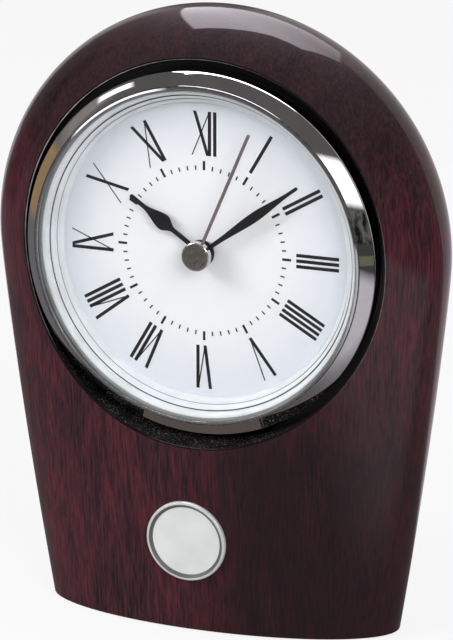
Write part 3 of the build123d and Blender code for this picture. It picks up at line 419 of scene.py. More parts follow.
def noise(tree, vector, scale, detail=2.0, roughness=0.5, distortion=0.0):
    """Soft random pattern, with scale in repeats to the metre."""
    wanted = {"Vector": vector, "Scale": scale, "Detail": detail, "Roughness": roughness,
              "Distortion": distortion}
    return add(tree, "ShaderNodeTexNoise", wanted).outputs["Fac"]


def ramp(tree, factor, stops):
    """Colour looked up along a run of stops, each a place and a colour."""
    node = add(tree, "ShaderNodeValToRGB", {"Fac": factor})
    elements = node.color_ramp.elements
    while len(elements) < len(stops):
        elements.new(0.5)
    for element, (place, tone) in zip(elements, stops):
        element.position = place
        element.color = rgba(tone)
    return node.outputs["Color"]


def spread(tree, value, low, high, to_low, to_high):
    """Value carried from one range to another, held at the ends."""
    wanted = {"Value": value, "From Min": low, "From Max": high, "To Min": to_low, "To Max": to_high}
    return add(tree, "ShaderNodeMapRange", wanted).outputs["Result"]


def calculate(tree, operation, first, second):
    """Two values combined by an operation of arithmetic."""
    return add(tree, "ShaderNodeMath", {0: first, 1: second}, operation=operation).outputs[0]


def times(tree, first, second):
    """Product of two values."""
    return calculate(tree, "MULTIPLY", first, second)


def mix_colours(tree, factor, first, second):
    """Blend of two colours."""
    node = add(tree, "ShaderNodeMix", data_type="RGBA")
    for index, value in ((0, factor), (6, first), (7, second)):
        if isinstance(value, bpy.types.NodeSocket):
            tree.links.new(value, node.inputs[index])
        else:
            node.inputs[index].default_value = value
    return node.outputs[2]


def bump(tree, height, distance, strength=1.0):
    """Surface relief from a height pattern, as deep as distance."""
    wanted = {"Height": height, "Distance": distance, "Strength": strength}
    return add(tree, "ShaderNodeBump", wanted).outputs["Normal"]


def mix_shaders(tree, factor, first, second):
    """Blend of two surfaces."""
    return add(tree, "ShaderNodeMixShader", {0: factor, 1: first.outputs[0], 2: second.outputs[0]})


def show(tree, shader):
    """Surface joined to the material's output."""
    add(tree, "ShaderNodeOutputMaterial", {"Surface": shader.outputs[0]})


def finish_with(tree, inputs):
    """Principled surface as the material's own."""
    show(tree, add(tree, "ShaderNodeBsdfPrincipled", inputs))


def mahogany(colours):
    """Dark red-brown wood under thick gloss lacquer: long upright fibres, short dark pores, red streaks."""
    material, tree = new_material("mahogany_gloss")
    fibres = noise(tree, object_coordinates(tree, (1.0, 1.0, 0.05)), 1900.0, 3.0, 0.6)
    streaks = noise(tree, object_coordinates(tree, (1.0, 1.0, 0.12)), 420.0, 3.0, 0.55, 0.4)
    figure = noise(tree, object_coordinates(tree, (1.0, 1.0, 0.30)), 70.0, 3.0, 0.5, 0.9)
    pores = noise(tree, object_coordinates(tree, (1.0, 1.0, 0.05)), 2600.0, 2.0, 0.5)
    weighted = [times(tree, value, share)
                for value, share in ((fibres, 0.55), (streaks, 0.22), (figure, 0.23))]
    grain = calculate(tree, "ADD", calculate(tree, "ADD", weighted[0], weighted[1]), weighted[2])
    stops = [(0.37, colours.wood_dark), (0.50, colours.wood_brown), (0.64, colours.wood_red)]
    tone = ramp(tree, grain, stops)
    # Where the plain arch and the darker patch over the lower middle set in and end, in metres.
    arch_foot, dark_patch_top = (0.098, 0.130), (0.045, 0.085)
    dark_patch_left, dark_patch_right = (-0.008, 0.014), (0.034, 0.050)
    place = components(tree, object_coordinates(tree))
    arch = spread(tree, place["Z"], *arch_foot, 0.0, 0.85)
    plainer = ramp(tree, grain, [(0.36, colours.wood_dark), (0.66, colours.wood_arch)])
    tone = mix_colours(tree, arch, tone, plainer)
    left = spread(tree, place["X"], *dark_patch_left, 0.0, 1.0)
    right = spread(tree, place["X"], *dark_patch_right, 1.0, 0.8)
    under = spread(tree, place["Z"], *dark_patch_top, 0.85, 0.0)
    dark_patch = times(tree, times(tree, left, right), under)
    dark_patch = times(tree, dark_patch, spread(tree, figure, 0.35, 0.55, 0.7, 1.0))
    tone = mix_colours(tree, dark_patch, tone, rgba(colours.wood_dark))
    pore_mask = spread(tree, pores, 0.60, 0.68, 0.0, 0.8)
    tone = mix_colours(tree, pore_mask, tone, rgba(colours.wood_dark))
    wave = noise(tree, object_coordinates(tree, (1.0, 1.0, 0.6)), 55.0, 1.0)
    finish_with(tree, {
        "Base Color": tone,
        "Roughness": spread(tree, fibres, 0.3, 0.7, 0.42, 0.55),
        "Specular IOR Level": 0.15,
        "Coat Weight": 0.75,
        "Coat Roughness": 0.025,
        "Coat IOR": 1.5,
        "Coat Normal": bump(tree, wave, 0.00006),
        "Normal": bump(tree, pore_mask, 0.00002, 0.5),
    })
    return material


def recess_lacquer(colours):
    """Black gloss lacquer, with a little dust where it faces up."""
    material, tree = new_material("recess_black_lacquer")
    where = object_coordinates(tree)
    specks = spread(tree, noise(tree, where, 2300.0, 2.0, 0.6), 0.60, 0.68, 0.06, 1.0)
    cloud = spread(tree, noise(tree, where, 160.0, 3.0), 0.35, 0.65, 0.3, 1.0)
    normal = add(tree, "ShaderNodeNewGeometry").outputs["Normal"]
    facing = spread(tree, components(tree, normal)["Z"], 0.35, 0.95, 0.0, 1.0)
    dust = times(tree, times(tree, specks, cloud), facing)
    finish_with(tree, {
        "Base Color": mix_colours(tree, dust, rgba(colours.lacquer), rgba(colours.dust)),
        "Roughness": spread(tree, dust, 0.0, 1.0, 0.12, 0.8),
        "Specular IOR Level": 0.5,
        "Normal": bump(tree, cloud, 0.00001),
    })
    return material


def painted_rim_highlight(colours):
    """Lacquer along the edge of the recess with a painted highlight, laid on most where the edge faces down and
    right.
    """
    material, tree = new_material("recess_rubbed_edge")
    normal = add(tree, "ShaderNodeNewGeometry").outputs["Normal"]
    down_right = (0.75, 0.0, -0.66)
    slant = add(tree, "ShaderNodeVectorMath", {0: normal, 1: down_right},
                operation="DOT_PRODUCT").outputs["Value"]
    edge_mottle = noise(tree, object_coordinates(tree), 240.0, 3.0, 0.6)
    # Painted highlight: the pale rim tone goes where the edge's normal faces down and right, broken up by noise.
    painted_highlight = times(tree, spread(tree, slant, 0.15, 0.6, 0.0, 1.0), spread(tree, edge_mottle, 0.35, 0.6, 0.35, 1.0))
    finish_with(tree, {
        "Base Color": mix_colours(tree, painted_highlight, rgba(colours.wood_dark), rgba(colours.rim)),
        "Roughness": spread(tree, edge_mottle, 0.3, 0.7, 0.15, 0.3),
        "Specular IOR Level": 0.4,
    })
    return material


def polished_metal(name, tone, dull=0.05, bright=0.02, smear_scale=90.0):
    """Bright plated metal with faint smears and hairline marks."""
    material, tree = new_material(name)
    smears = noise(tree, object_coordinates(tree), smear_scale, 4.0, 0.6)
    hairlines = noise(tree, object_coordinates(tree, (1.0, 1.0, 0.08), (0.3, 0.5, 0.7)), 2200.0, 2.0)
    finish_with(tree, {
        "Base Color": ramp(tree, smears, [(0.35, shade(tone, 0.9)), (0.65, tone)]),
        "Metallic": 1.0,
        "Roughness": spread(tree, smears, 0.35, 0.7, bright, dull),
        "Normal": bump(tree, hairlines, 0.0000012),
    })
    return material


def grained(name, tones, gloss, grain_scale, cloud, relief, metallic=0.0):
    """Finish with a fine even grain. The tone drifts between two colours in clouds of a scale and detail,
    the roughness between two limits with the grain, which stands up by the relief."""
    material, tree = new_material(name)
    grain = noise(tree, object_coordinates(tree), grain_scale, 3.0, 0.6)
    drift = noise(tree, object_coordinates(tree), *cloud)
    finish_with(tree, {
        "Base Color": ramp(tree, drift, [(0.3, tones[0]), (0.7, tones[1])]),
        "Metallic": metallic,
        "Roughness": spread(tree, grain, 0.3, 0.7, *gloss),
        "Normal": bump(tree, grain, relief),
    })
    return material


def satin_metal(name, tone, roughness, grain_scale=1800.0, metallic=1.0):
    """Metal with a fine satin grain."""
    gloss = (roughness * 0.8, roughness * 1.2)
    return grained(name, (shade(tone, 0.88), tone), gloss, grain_scale, (120.0, 2.0), 0.000004, metallic)


def moulded_plastic(name, tone, roughness, grain_scale=1500.0, relief=0.000006):
    """Moulded plastic with a fine even texture."""
    gloss = (roughness * 0.85, min(1.0, roughness * 1.15))
    return grained(name, (shade(tone, 0.86), tone), gloss, grain_scale, (140.0, 3.0), relief)


def dial_face(colours):
    """Satin white paint, with painted shade that turns it a little greyer towards the dial's edge, by the ring."""
    material, tree = new_material("dial_face_white")
    source = add(tree, "ShaderNodeTexCoord").outputs["Object"]
    flat = add(tree, "ShaderNodeMapping", {"Vector": source, "Scale": (1.0, 0.0, 1.0),
                                           "Location": (-AXIS_X, 0.0, -DIAL_Z)}).outputs[0]
    out = add(tree, "ShaderNodeVectorMath", {0: flat}, operation="LENGTH").outputs["Value"]
    grain = noise(tree, source, 900.0, 3.0, 0.6)
    # Painted shade: the blend to the greyer tone stands in for the shade of the ring and bezel on the dial's edge.
    rim = spread(tree, out, 0.5 * STACK_R, 0.9 * STACK_R, 0.0, 1.0)
    finish_with(tree, {
        "Base Color": mix_colours(tree, rim, rgba(colours.dial), rgba(colours.dial_edge_shade)),
        "Roughness": spread(tree, grain, 0.3, 0.7, 0.38, 0.46),
        "Normal": bump(tree, grain, 0.000003),
    })
    return material


def clear_lens():
    """Clear domed lens that lets lamp light through to the dial, with faint smears."""
    material, tree = new_material("lens_clear")
    smears = noise(tree, object_coordinates(tree), 70.0, 3.0)
    glass = add(tree, "ShaderNodeBsdfPrincipled", {
        "Base Color": (1.0, 1.0, 1.0, 1.0),
        "Roughness": spread(tree, smears, 0.3, 0.8, 0.0, 0.02),
        "IOR": 1.33,
        "Transmission Weight": 1.0,
    })
    open_air = add(tree, "ShaderNodeBsdfTransparent")
    shadow = add(tree, "ShaderNodeLightPath").outputs["Is Shadow Ray"]
    show(tree, mix_shaders(tree, shadow, glass, open_air))
    return material


def pressed_felt(colours):
    """Matted wool felt: tangled fibres in two sizes, with a soft sheen."""
    material, tree = new_material("felt_black")
    fibres = noise(tree, object_coordinates(tree), 2400.0, 5.0, 0.75, 1.5)
    clumps = noise(tree, object_coordinates(tree), 320.0, 3.0)
    height = calculate(tree, "ADD", fibres, times(tree, clumps, 0.6))
    finish_with(tree, {
        "Base Color": ramp(tree, fibres, [(0.35, colours.felt), (0.7, shade(colours.felt, 2.6))]),
        "Roughness": 0.95,
        "Sheen Weight": 0.4,
        "Sheen Roughness": 0.5,
        "Normal": bump(tree, height, 0.00012),
    })
    return material


def copper_winding(tone):
    """Fine enamelled wire laid side by side, as bands across the coil."""
    material, tree = new_material("coil_copper_wire")
    where = object_coordinates(tree, turn=(0.0, math.radians(60.0), 0.0))
    bands = add(tree, "ShaderNodeTexWave", {"Vector": where, "Scale": 900.0, "Distortion": 0.4},
                bands_direction="X").outputs["Fac"]
    finish_with(tree, {
        "Base Color": ramp(tree, bands, [(0.1, shade(tone, 0.45)), (0.7, tone)]),
        "Metallic": 0.8,
        "Roughness": spread(tree, bands, 0.0, 1.0, 0.45, 0.28),
        "Normal": bump(tree, bands, 0.00004),
    })
    return material


def circuit_board(tone):
    """Green solder mask over faint straight tracks."""
    material, tree = new_material("board_green_mask")
    tracks = add(tree, "ShaderNodeTexWave", {"Vector": object_coordinates(tree), "Scale": 160.0,
                                             "Distortion": 0.0}, bands_direction="X").outputs["Fac"]
    lines = spread(tree, tracks, 0.55, 0.75, 0.0, 1.0)
    finish_with(tree, {
        "Base Color": mix_colours(tree, lines, rgba(tone), rgba(shade(tone, 1.5))),
        "Roughness": spread(tree, lines, 0.0, 1.0, 0.38, 0.30),
        "Normal": bump(tree, lines, 0.00002),
    })
    return material


def side_half_width(sizes, below):
    """Half width of the case at a depth below the dial's middle. It is the arch's radius, less a lean that
    sets in smoothly, less a square term, which are set by the base's width and the sides' bow."""
    drop = DIAL_Z - CASE_LOW
    ease = sizes.side_blend
    depths = np.array([drop, drop / 2])
    lean = np.hypot(depths, ease) - ease
    middle = (CASE_R + sizes.base_half_width) / 2 + sizes.side_bow
    wanted = CASE_R - np.array([sizes.base_half_width, middle])
    lean_share, square_share = np.linalg.solve(np.stack([lean, depths ** 2], axis=1), wanted)
    return CASE_R - lean_share * (np.hypot(below, ease) - ease) - square_share * below ** 2


def front_crown(sizes, below):
    """Crown of the front from the widest plane, leaning back smoothly towards the base."""
    drop = DIAL_Z - CASE_LOW
    ease = sizes.front_blend
    slope = (sizes.front_bow - sizes.front_bow_base) / (math.hypot(drop, ease) - ease)
    return sizes.front_bow - slope * (np.hypot(below, ease) - ease)


def case_depths(sizes, x, z):
    """Where the front and the back of the case lie, for points given from the dial's middle. The front is
    an ellipse across, from the crown to nothing at the side. The back is flat, and its edge rounds over in
    an ellipse."""
    below = np.maximum(-z, 0.0)
    half = side_half_width(sizes, below)
    out = np.hypot(x, np.maximum(z, 0.0))
    widest = DIAL_Y + sizes.widest_behind
    front = widest - front_crown(sizes, below) * np.sqrt(np.clip(1 - (out / half) ** 2, 0.0, 1.0))
    inward = np.clip((half - out) / sizes.back_round, 0.0, 1.0)
    back = widest + (CASE_BACK - widest) * np.sqrt(np.clip(1 - (1 - inward) ** 2, 0.0, 1.0))
    return front, back


def case_outline(sizes, arch_count=200, side_count=70, base_count=120):
    """Outline of the case seen from the front, from the dial's middle: a half circle from right to left, the
    left side down, the base to the right, and the right side up. Returns its points and the base's share."""
    drop = DIAL_Z - CASE_LOW
    arch = np.linspace(0.0, math.pi, arch_count)
    below = drop * np.linspace(0.0, 1.0, side_count + 1)[1:]
    half = side_half_width(sizes, below)
    base = sizes.base_half_width * np.sin(np.linspace(-math.pi / 2, math.pi / 2, base_count + 1))[1:]
    x = np.concatenate([CASE_R * np.cos(arch), -half, base, half[::-1][1:]])
    z = np.concatenate([CASE_R * np.sin(arch), -below, np.full(base_count, -drop), -below[::-1][1:]])
    base_columns = np.arange(arch_count + side_count - 1, arch_count + side_count + base_count)
    return np.stack([x, z], axis=-1), base_columns


def column_points(flat, depth):
    """Points of the case's frame from flat points round the dial's middle and their depth."""
    return np.stack([flat[..., 0] + AXIS_X, depth, flat[..., 1] + DIAL_Z], axis=-1)


def case_surfaces(sizes):
    """Skin of the case. Rays from the dial's middle cross the softened rim of the recess, the front, the
    outline and the back, and come home through the bore and the floor and wall of the recess. Along the
    front the points crowd towards the outline, where the surface turns fastest."""
    outline, base_columns = case_outline(sizes)
    ray = unit(outline)
    recess = BEZEL_R + sizes.recess_gap - sizes.recess_squeeze * ray[:, :1] ** 2
    floor = DIAL_Y + sizes.recess_depth
    rim = recess * ray
    inner = (recess + sizes.rim_round) * ray
    share = (1 - (1 - np.linspace(0.0, 1.0, 40)) ** 2)[None, :, None]
    front_flat = inner[:, None] + (outline - inner)[:, None] * share
    front = column_points(front_flat, case_depths(sizes, front_flat[..., 0], front_flat[..., 1])[0])
    corner = column_points(rim, case_depths(sizes, rim[:, 0], rim[:, 1])[0])
    wall_top = corner + np.array([0.0, sizes.rim_round, 0.0])
    bend = np.linspace(0.0, 1.0, 8)[None, :-1, None]
    softened = (1 - bend) ** 2 * wall_top[:, None] + 2 * bend * (1 - bend) * corner[:, None]
    softened = softened + bend ** 2 * front[:, :1]
    bore = sizes.bore_radius * ray
    share = (np.linspace(0.0, 1.0, 30) ** 2)[None, :, None]
    back_flat = outline[:, None] + (bore - outline)[:, None] * share
    back = column_points(back_flat, case_depths(sizes, back_flat[..., 0], back_flat[..., 1])[1])
    level = np.full(len(outline), floor)
    floor_inner = column_points(bore, level)
    floor_outer = column_points(rim, level)
    inside = np.stack([back[:, -1], floor_inner, floor_outer, wall_top], axis=1)
    edge = column_points(outline, case_depths(sizes, outline[:, 0], outline[:, 1])[1])
    return [
        grid(np.concatenate([softened, front], axis=1), round_rows=False,
             finish=np.repeat([2, 0], [softened.shape[1], front.shape[1] - 1])[None, :]),
        grid(back, round_rows=False, finish=0),
        grid(inside, round_rows=False, finish=1),
        grid(base_points(sizes, front[base_columns, -1], edge[base_columns]), False, False, 0),
    ]


def felt_edges(sizes, count):
    """Front and back edge of the felt, from left to right: the base's section, drawn in all round."""
    turn = np.linspace(-math.pi / 2, math.pi / 2, count)
    widest = DIAL_Y + sizes.widest_behind
    half = sizes.base_half_width - sizes.felt_inset
    corner = sizes.back_round - sizes.felt_inset
    x = half * np.sin(turn)
    front = widest - (sizes.front_bow_base - sizes.felt_inset) * np.cos(turn)
    inward = np.clip((half - np.abs(x)) / corner, 0.0, 1.0)
    back = widest + (CASE_BACK - sizes.felt_inset - widest) * np.sqrt(1 - (1 - inward) ** 2)
    return np.stack([x + AXIS_X, front], axis=-1), np.stack([x + AXIS_X, back], axis=-1)


def base_points(sizes, front_edge, back_edge):
    """Underside of the case from its front edge to its back edge, with the shallow pocket for the felt."""
    front, back = felt_edges(sizes, len(front_edge))
    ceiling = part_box("base_felt")[1].z
    low = np.full((len(front), 1), CASE_LOW)
    high = np.full((len(front), 1), ceiling)
    rows = [front_edge, np.hstack([front, low]), np.hstack([front, high]),
            np.hstack([back, high]), np.hstack([back, low]), back_edge]
    return np.stack(rows, axis=1)


class CLOCK_OT_case(bpy.types.Operator):
    """Builds the wooden case with its recess for the dial"""

    bl_idname = "clock.build_case"
    bl_label = "Wooden Case"

    def execute(self, context):
        scene = context.scene
        colours = scene.clock_finishes
        finishes = [mahogany(colours), recess_lacquer(colours), painted_rim_highlight(colours)]
        make_piece("case_body", case_surfaces(scene.clock_case), finishes, FIXED_BODY,
                   ["wood_case"], crease=40.0)
        return {"FINISHED"}


class CLOCK_OT_felt(bpy.types.Operator):
    """Builds the felt pad under the base, as its outline drawn in towards the middle at each height"""

    bl_idname = "clock.build_felt"
    bl_label = "Base Felt"

    def execute(self, context):
        sizes = context.scene.clock_case
        front, back = felt_edges(sizes, 121)
        outline = np.concatenate([front, back[::-1][1:-1]])
        middle = np.array([AXIS_X, (front[:, 1].min() + back[:, 1].max()) / 2])
        low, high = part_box("base_felt")
        edge = sizes.felt_round
        turn = np.linspace(0.0, math.pi / 2, 6)
        size = np.linalg.norm(outline - middle, axis=1).max()
        inset = np.concatenate([[1.0, 0.4], edge * (1 - np.sin(turn)) / size, [0.0, 0.4, 1.0]])
        height = np.concatenate([[low.z, low.z], low.z + edge * (1 - np.cos(turn)), [high.z] * 3])
        flat = middle + (outline - middle)[:, None] * (1 - inset)[None, :, None]
        level = np.broadcast_to(height[None, :, None], flat.shape[:2] + (1,))
        surface = grid(np.concatenate([flat, level], axis=-1), round_rows=False)
        felt = make_piece("felt_pad", [surface], [pressed_felt(context.scene.clock_finishes)], FIXED_BODY,
                          ["base_felt"])
        return {"FINISHED"}


class CLOCK_OT_bezel(bpy.types.Operator):
    """Builds the polished bezel with its sloping band"""

    bl_idname = "clock.build_bezel"
    bl_label = "Bezel"

    def execute(self, context):
        sizes = context.scene.clock_insert
        # The profile goes out from the bore's foot, up the wall, in along the swelling band and the flatter
        # strip to the lip's edge, and back under the lip. It is turned round the dial's axis.
        bore = BEZEL_R - sizes.bezel_wall
        lip = bore - sizes.bezel_lip
        foot, top = back_height("bezel"), front_height("bezel")
        under = top - sizes.bezel_lip_thick
        slope = (top - sizes.bezel_ridge) / (BEZEL_R - lip)
        shoulder = (lip + sizes.bezel_shoulder, top - slope * sizes.bezel_shoulder)
        band = swelling_arc((BEZEL_R, sizes.bezel_ridge), shoulder, sizes.bezel_swell, 13)
        band = np.concatenate([band[:1], band[2:-3], band[-1:]])
        edge = (lip, top - sizes.bezel_shoulder_drop)
        wall = [(bore, foot), (BEZEL_R, foot)]
        corners = np.concatenate([wall, band, [edge, (lip, under), (bore, under)]])
        radii = np.zeros(len(corners))
        radii[1:3] = (sizes.bezel_foot_round, sizes.bezel_ridge_round)
        radii[-4:-2] = (sizes.bezel_shoulder_round, SMALL_ROUND)
        surface = grid(turned(rounded(corners, radii, steps=7), DIAL_PLACE, columns=360))
        metal = polished_metal("bezel_chrome", context.scene.clock_finishes.polished)
        make_piece("bezel_ring", [surface], [metal], FIXED_BODY, ["bezel"])
        return {"FINISHED"}


class CLOCK_OT_lens(bpy.types.Operator):
    """Builds the domed lens"""

    bl_idname = "clock.build_lens"
    bl_label = "Lens"

    def execute(self, context):
        sizes = context.scene.clock_insert
        # Both faces are caps of a ball: the height falls from the apex by the ball's radius, less the root
        # of that radius squared less the distance from the axis squared.
        apex, back = front_height("lens"), back_height("lens")
        rise = sizes.lens_rise
        reach = LENS_R - sizes.bezel_lip
        ball = (reach ** 2 + rise ** 2) / (2 * rise)
        radius = np.linspace(0.0, reach, 40)
        dome = apex - (ball - np.sqrt(ball ** 2 - radius ** 2))
        outer = np.stack([radius, dome], axis=-1)
        inner = np.stack([radius, dome - sizes.lens_thick], axis=-1)[::-1]
        rim = np.array([(LENS_R, apex - rise), (LENS_R, back)])
        profile = np.concatenate([outer, rim, inner])
        surface = grid(turned(profile, DIAL_PLACE, columns=240), round_rows=False)
        make_piece("lens_dome", [surface], [clear_lens()], FIXED_BODY, ["lens"], crease=50.0)
        return {"FINISHED"}


class CLOCK_OT_chapter_ring(bpy.types.Operator):
    """Builds the stepped white ring round the dial, with its fine ribs"""

    bl_idname = "clock.build_chapter_ring"
    bl_label = "Stepped Ring"

    def execute(self, context):
        sizes = context.scene.clock_insert
        colours = context.scene.clock_finishes
        # Each step is a leaning riser, a tread and a dark line of painted shadow, which is wider on the outer
        # steps. The ribs add a cosine of the angle to the radius, most near the top step and fading as a bell
        # curve.
        top = front_height("chapter_ring")
        top_radius = STACK_R - sizes.chapter_land
        foot_radius = top_radius - sizes.chapter_width
        tread = sizes.chapter_width / sizes.chapter_steps
        rise = top / sizes.chapter_steps
        step = np.arange(sizes.chapter_steps)[:, None]
        thin, wide = 0.7, 2.9
        lines = sizes.line_width * np.linspace(thin, wide, sizes.chapter_steps)[:, None]
        across = np.hstack([0 * lines, 0 * lines + sizes.chapter_lean, tread - lines])
        out = foot_radius + step * tread + across
        riser = 0.8 * rise
        up = np.array([0.0, riser, rise - sizes.line_rise]) + step * rise
        climb = np.stack([out, up], axis=-1)
        corners = np.concatenate([climb.reshape(-1, 2), [(top_radius, top), (STACK_R, top), (STACK_R, 0.0)]])
        radii = np.zeros(len(corners))
        radii[1:3 * sizes.chapter_steps:3] = sizes.chapter_round
        profile = rounded(corners, radii, steps=4)
        each = len(profile) // len(corners)
        numbers = np.zeros(len(profile), int)
        # Material one, the dark line at each riser's foot, is painted shadow.
        numbers[each * 3 * (1 + np.arange(sizes.chapter_steps - 1)) - 1] = 1
        crest, reach = top_radius - 0.6 * tread, 0.35 * tread
        reeded = np.exp(-((profile[:, 0] - crest) / reach) ** 2)

        def ripple(angles):
            return sizes.reeding_depth * np.cos(sizes.reeding_count * angles) * reeded[None, :]

        columns = sizes.reeding_count * 5
        surface = grid(turned(profile, DIAL_PLACE, columns, ripple), finish=numbers[None, :])
        white = moulded_plastic("ring_white", colours.ring, 0.14, relief=0.000002)
        line = moulded_plastic("ring_line_dark", colours.ring_shadow_line, 0.4)
        make_piece("dial_ring", [surface], [white, line], FIXED_BODY, ["chapter_ring"])
        return {"FINISHED"}


# Each letter's strokes: where the top and the foot lie across, in units of the numeral's height, and
# whether the stroke is thick. Each advance is the step from one letter to the next, for a pair of letters.
STROKES = {
    "I": ((0.0, 0.0, True),),
    "V": ((0.0, 0.13, True), (0.29, 0.13, False)),
    "X": ((0.06, 0.37, True), (0.41, 0.0, False)),
}
ADVANCES = {"II": 0.126, "IX": 0.0, "VI": 0.30, "XI": 0.41}
NUMERALS = ("XII", "I", "II", "III", "IIII", "V", "VI", "VII", "VIII", "IX", "X", "XI")


def numeral_strokes(numeral, marks):
    """Strokes of a numeral as four-cornered outlines, in units of its height, centred across. Each stroke
    leans from its top place to its foot place and has a thick or a thin width."""
    starts = np.cumsum([0.0] + [ADVANCES[a + b] for a, b in zip(numeral, numeral[1:])])
    rows = [(start + top, start + foot, marks.thick_stroke if thick else marks.thin_stroke)
            for letter, start in zip(numeral, starts) for top, foot, thick in STROKES[letter]]
    top, foot, width = np.array(rows).T
    half = width / 2
    shift = (min((top - half).min(), (foot - half).min()) + max((top + half).max(), (foot + half).max())) / 2
    across = np.stack([foot - half, foot + half, top + half, top - half], axis=-1) - shift
    up = np.broadcast_to(np.array([0.0, 0.0, 1.0, 1.0]), across.shape)
    return np.stack([across, up], axis=-1)


def round_dial(flat, angle):
    """Flat points, given across and outwards, turned to an angle of the dial."""
    outward = np.array([math.sin(angle), math.cos(angle)])
    clockwise = np.array([math.cos(angle), -math.sin(angle)])
    return flat[..., :1] * clockwise + flat[..., 1:] * outward


class CLOCK_OT_dial(bpy.types.Operator):
    """Finishes the dial and builds the ticks and numerals printed on it"""

    bl_idname = "clock.build_dial"
    bl_label = "Dial and Print"

    def execute(self, context):
        marks = context.scene.clock_marks
        colours = context.scene.clock_finishes
        corner = np.array([(-0.5, -0.5), (0.5, -0.5), (0.5, 0.5), (-0.5, 0.5)])
        outlines = []
        for minute in range(60):
            on_hour = minute % 5 == 0
            width = marks.hour_tick_width if on_hour else marks.tick_width
            long = marks.hour_tick_length if on_hour else marks.tick_length
            middle = marks.tick_radius + (long - marks.tick_length) / 2
            tick = corner * (width, long) + (0.0, middle)
            outlines.append(round_dial(tick[None], marks.print_turn + math.radians(6.0 * minute)))
        for hour, numeral in enumerate(NUMERALS):
            strokes = numeral_strokes(numeral, marks) * marks.numeral_height + (0.0, marks.numeral_foot)
            outlines.append(round_dial(strokes, marks.print_turn + math.radians(30.0 * hour)))
        block = prisms(np.concatenate(outlines), 0.0, marks.ink_height, DIAL_PLACE)
        ink = moulded_plastic("dial_ink", colours.ink, 0.5)
        make_piece("dial_print", [block], [ink], FIXED_BODY)
        dress_node("dial", dial_face(colours))
        return {"FINISHED"}


class CLOCK_OT_hands(bpy.types.Operator):
    """Builds the second hand with its cap and finishes the hour and minute hands"""

    bl_idname = "clock.build_hands"
    bl_label = "Hands"

    def execute(self, context):
        sizes = context.scene.clock_insert
        colours = context.scene.clock_finishes
        low, top, edge = sizes.second_height, sizes.cap_height, sizes.cap_edge
        corners = [(0.0, low), (sizes.cap_radius, low), (sizes.cap_radius, top), (0.0, top)]
        profile = rounded(corners, [0.0, SMALL_ROUND, edge, 0.0], steps=8)
        nearer = np.minimum(profile[:, 0], np.roll(profile[:, 0], -1))
        numbers = np.where(nearer > sizes.cap_radius - 1.3 * edge, 1, 2)
        cap = grid(turned(profile, DIAL_PLACE, columns=160), finish=numbers[None, :])
        # The bar is one outline at five levels, narrowed to its middle line at the bottom and the top.
        half = sizes.second_width / 2
        corners = [(-half, 0.0), (half, 0.0), (half, sizes.second_length), (-half, sizes.second_length)]
        outline = rounded(corners, [0.0, 0.0, 0.8 * half, 0.8 * half])
        bevel = 0.25
        narrow = np.array([0.0, 1.0, 1.0, 1.0 - bevel, 0.0])
        level = low + sizes.second_thick * np.array([0.0, 0.0, 0.7, 1.0, 1.0])
        flat = np.stack(np.broadcast_arrays(outline[:, None, 0] * narrow, outline[:, None, 1]), axis=-1)
        flat = round_dial(flat, sizes.second_angle)
        height = np.broadcast_to(level[None, :, None], flat.shape[:2] + (1,))
        bar = grid(placed(np.concatenate([flat, height], axis=-1), DIAL_PLACE), round_rows=False)
        satin = satin_metal("second_hand_satin", colours.second, 0.34, metallic=0.3)
        chrome = polished_metal("cap_edge_chrome", colours.polished)
        face = satin_metal("cap_face_satin", colours.cap, 0.26, 1200.0, 0.75)
        make_piece("sweep_hand", [cap, bar], [satin, chrome, face], "seconds", ["second_hand"])
        enamel = moulded_plastic("hand_black_enamel", colours.hands, 0.35, 2600.0, 0.000003)
        dress_node("hour_hand", enamel)
        dress_node("minute_hand", enamel)
        return {"FINISHED"}


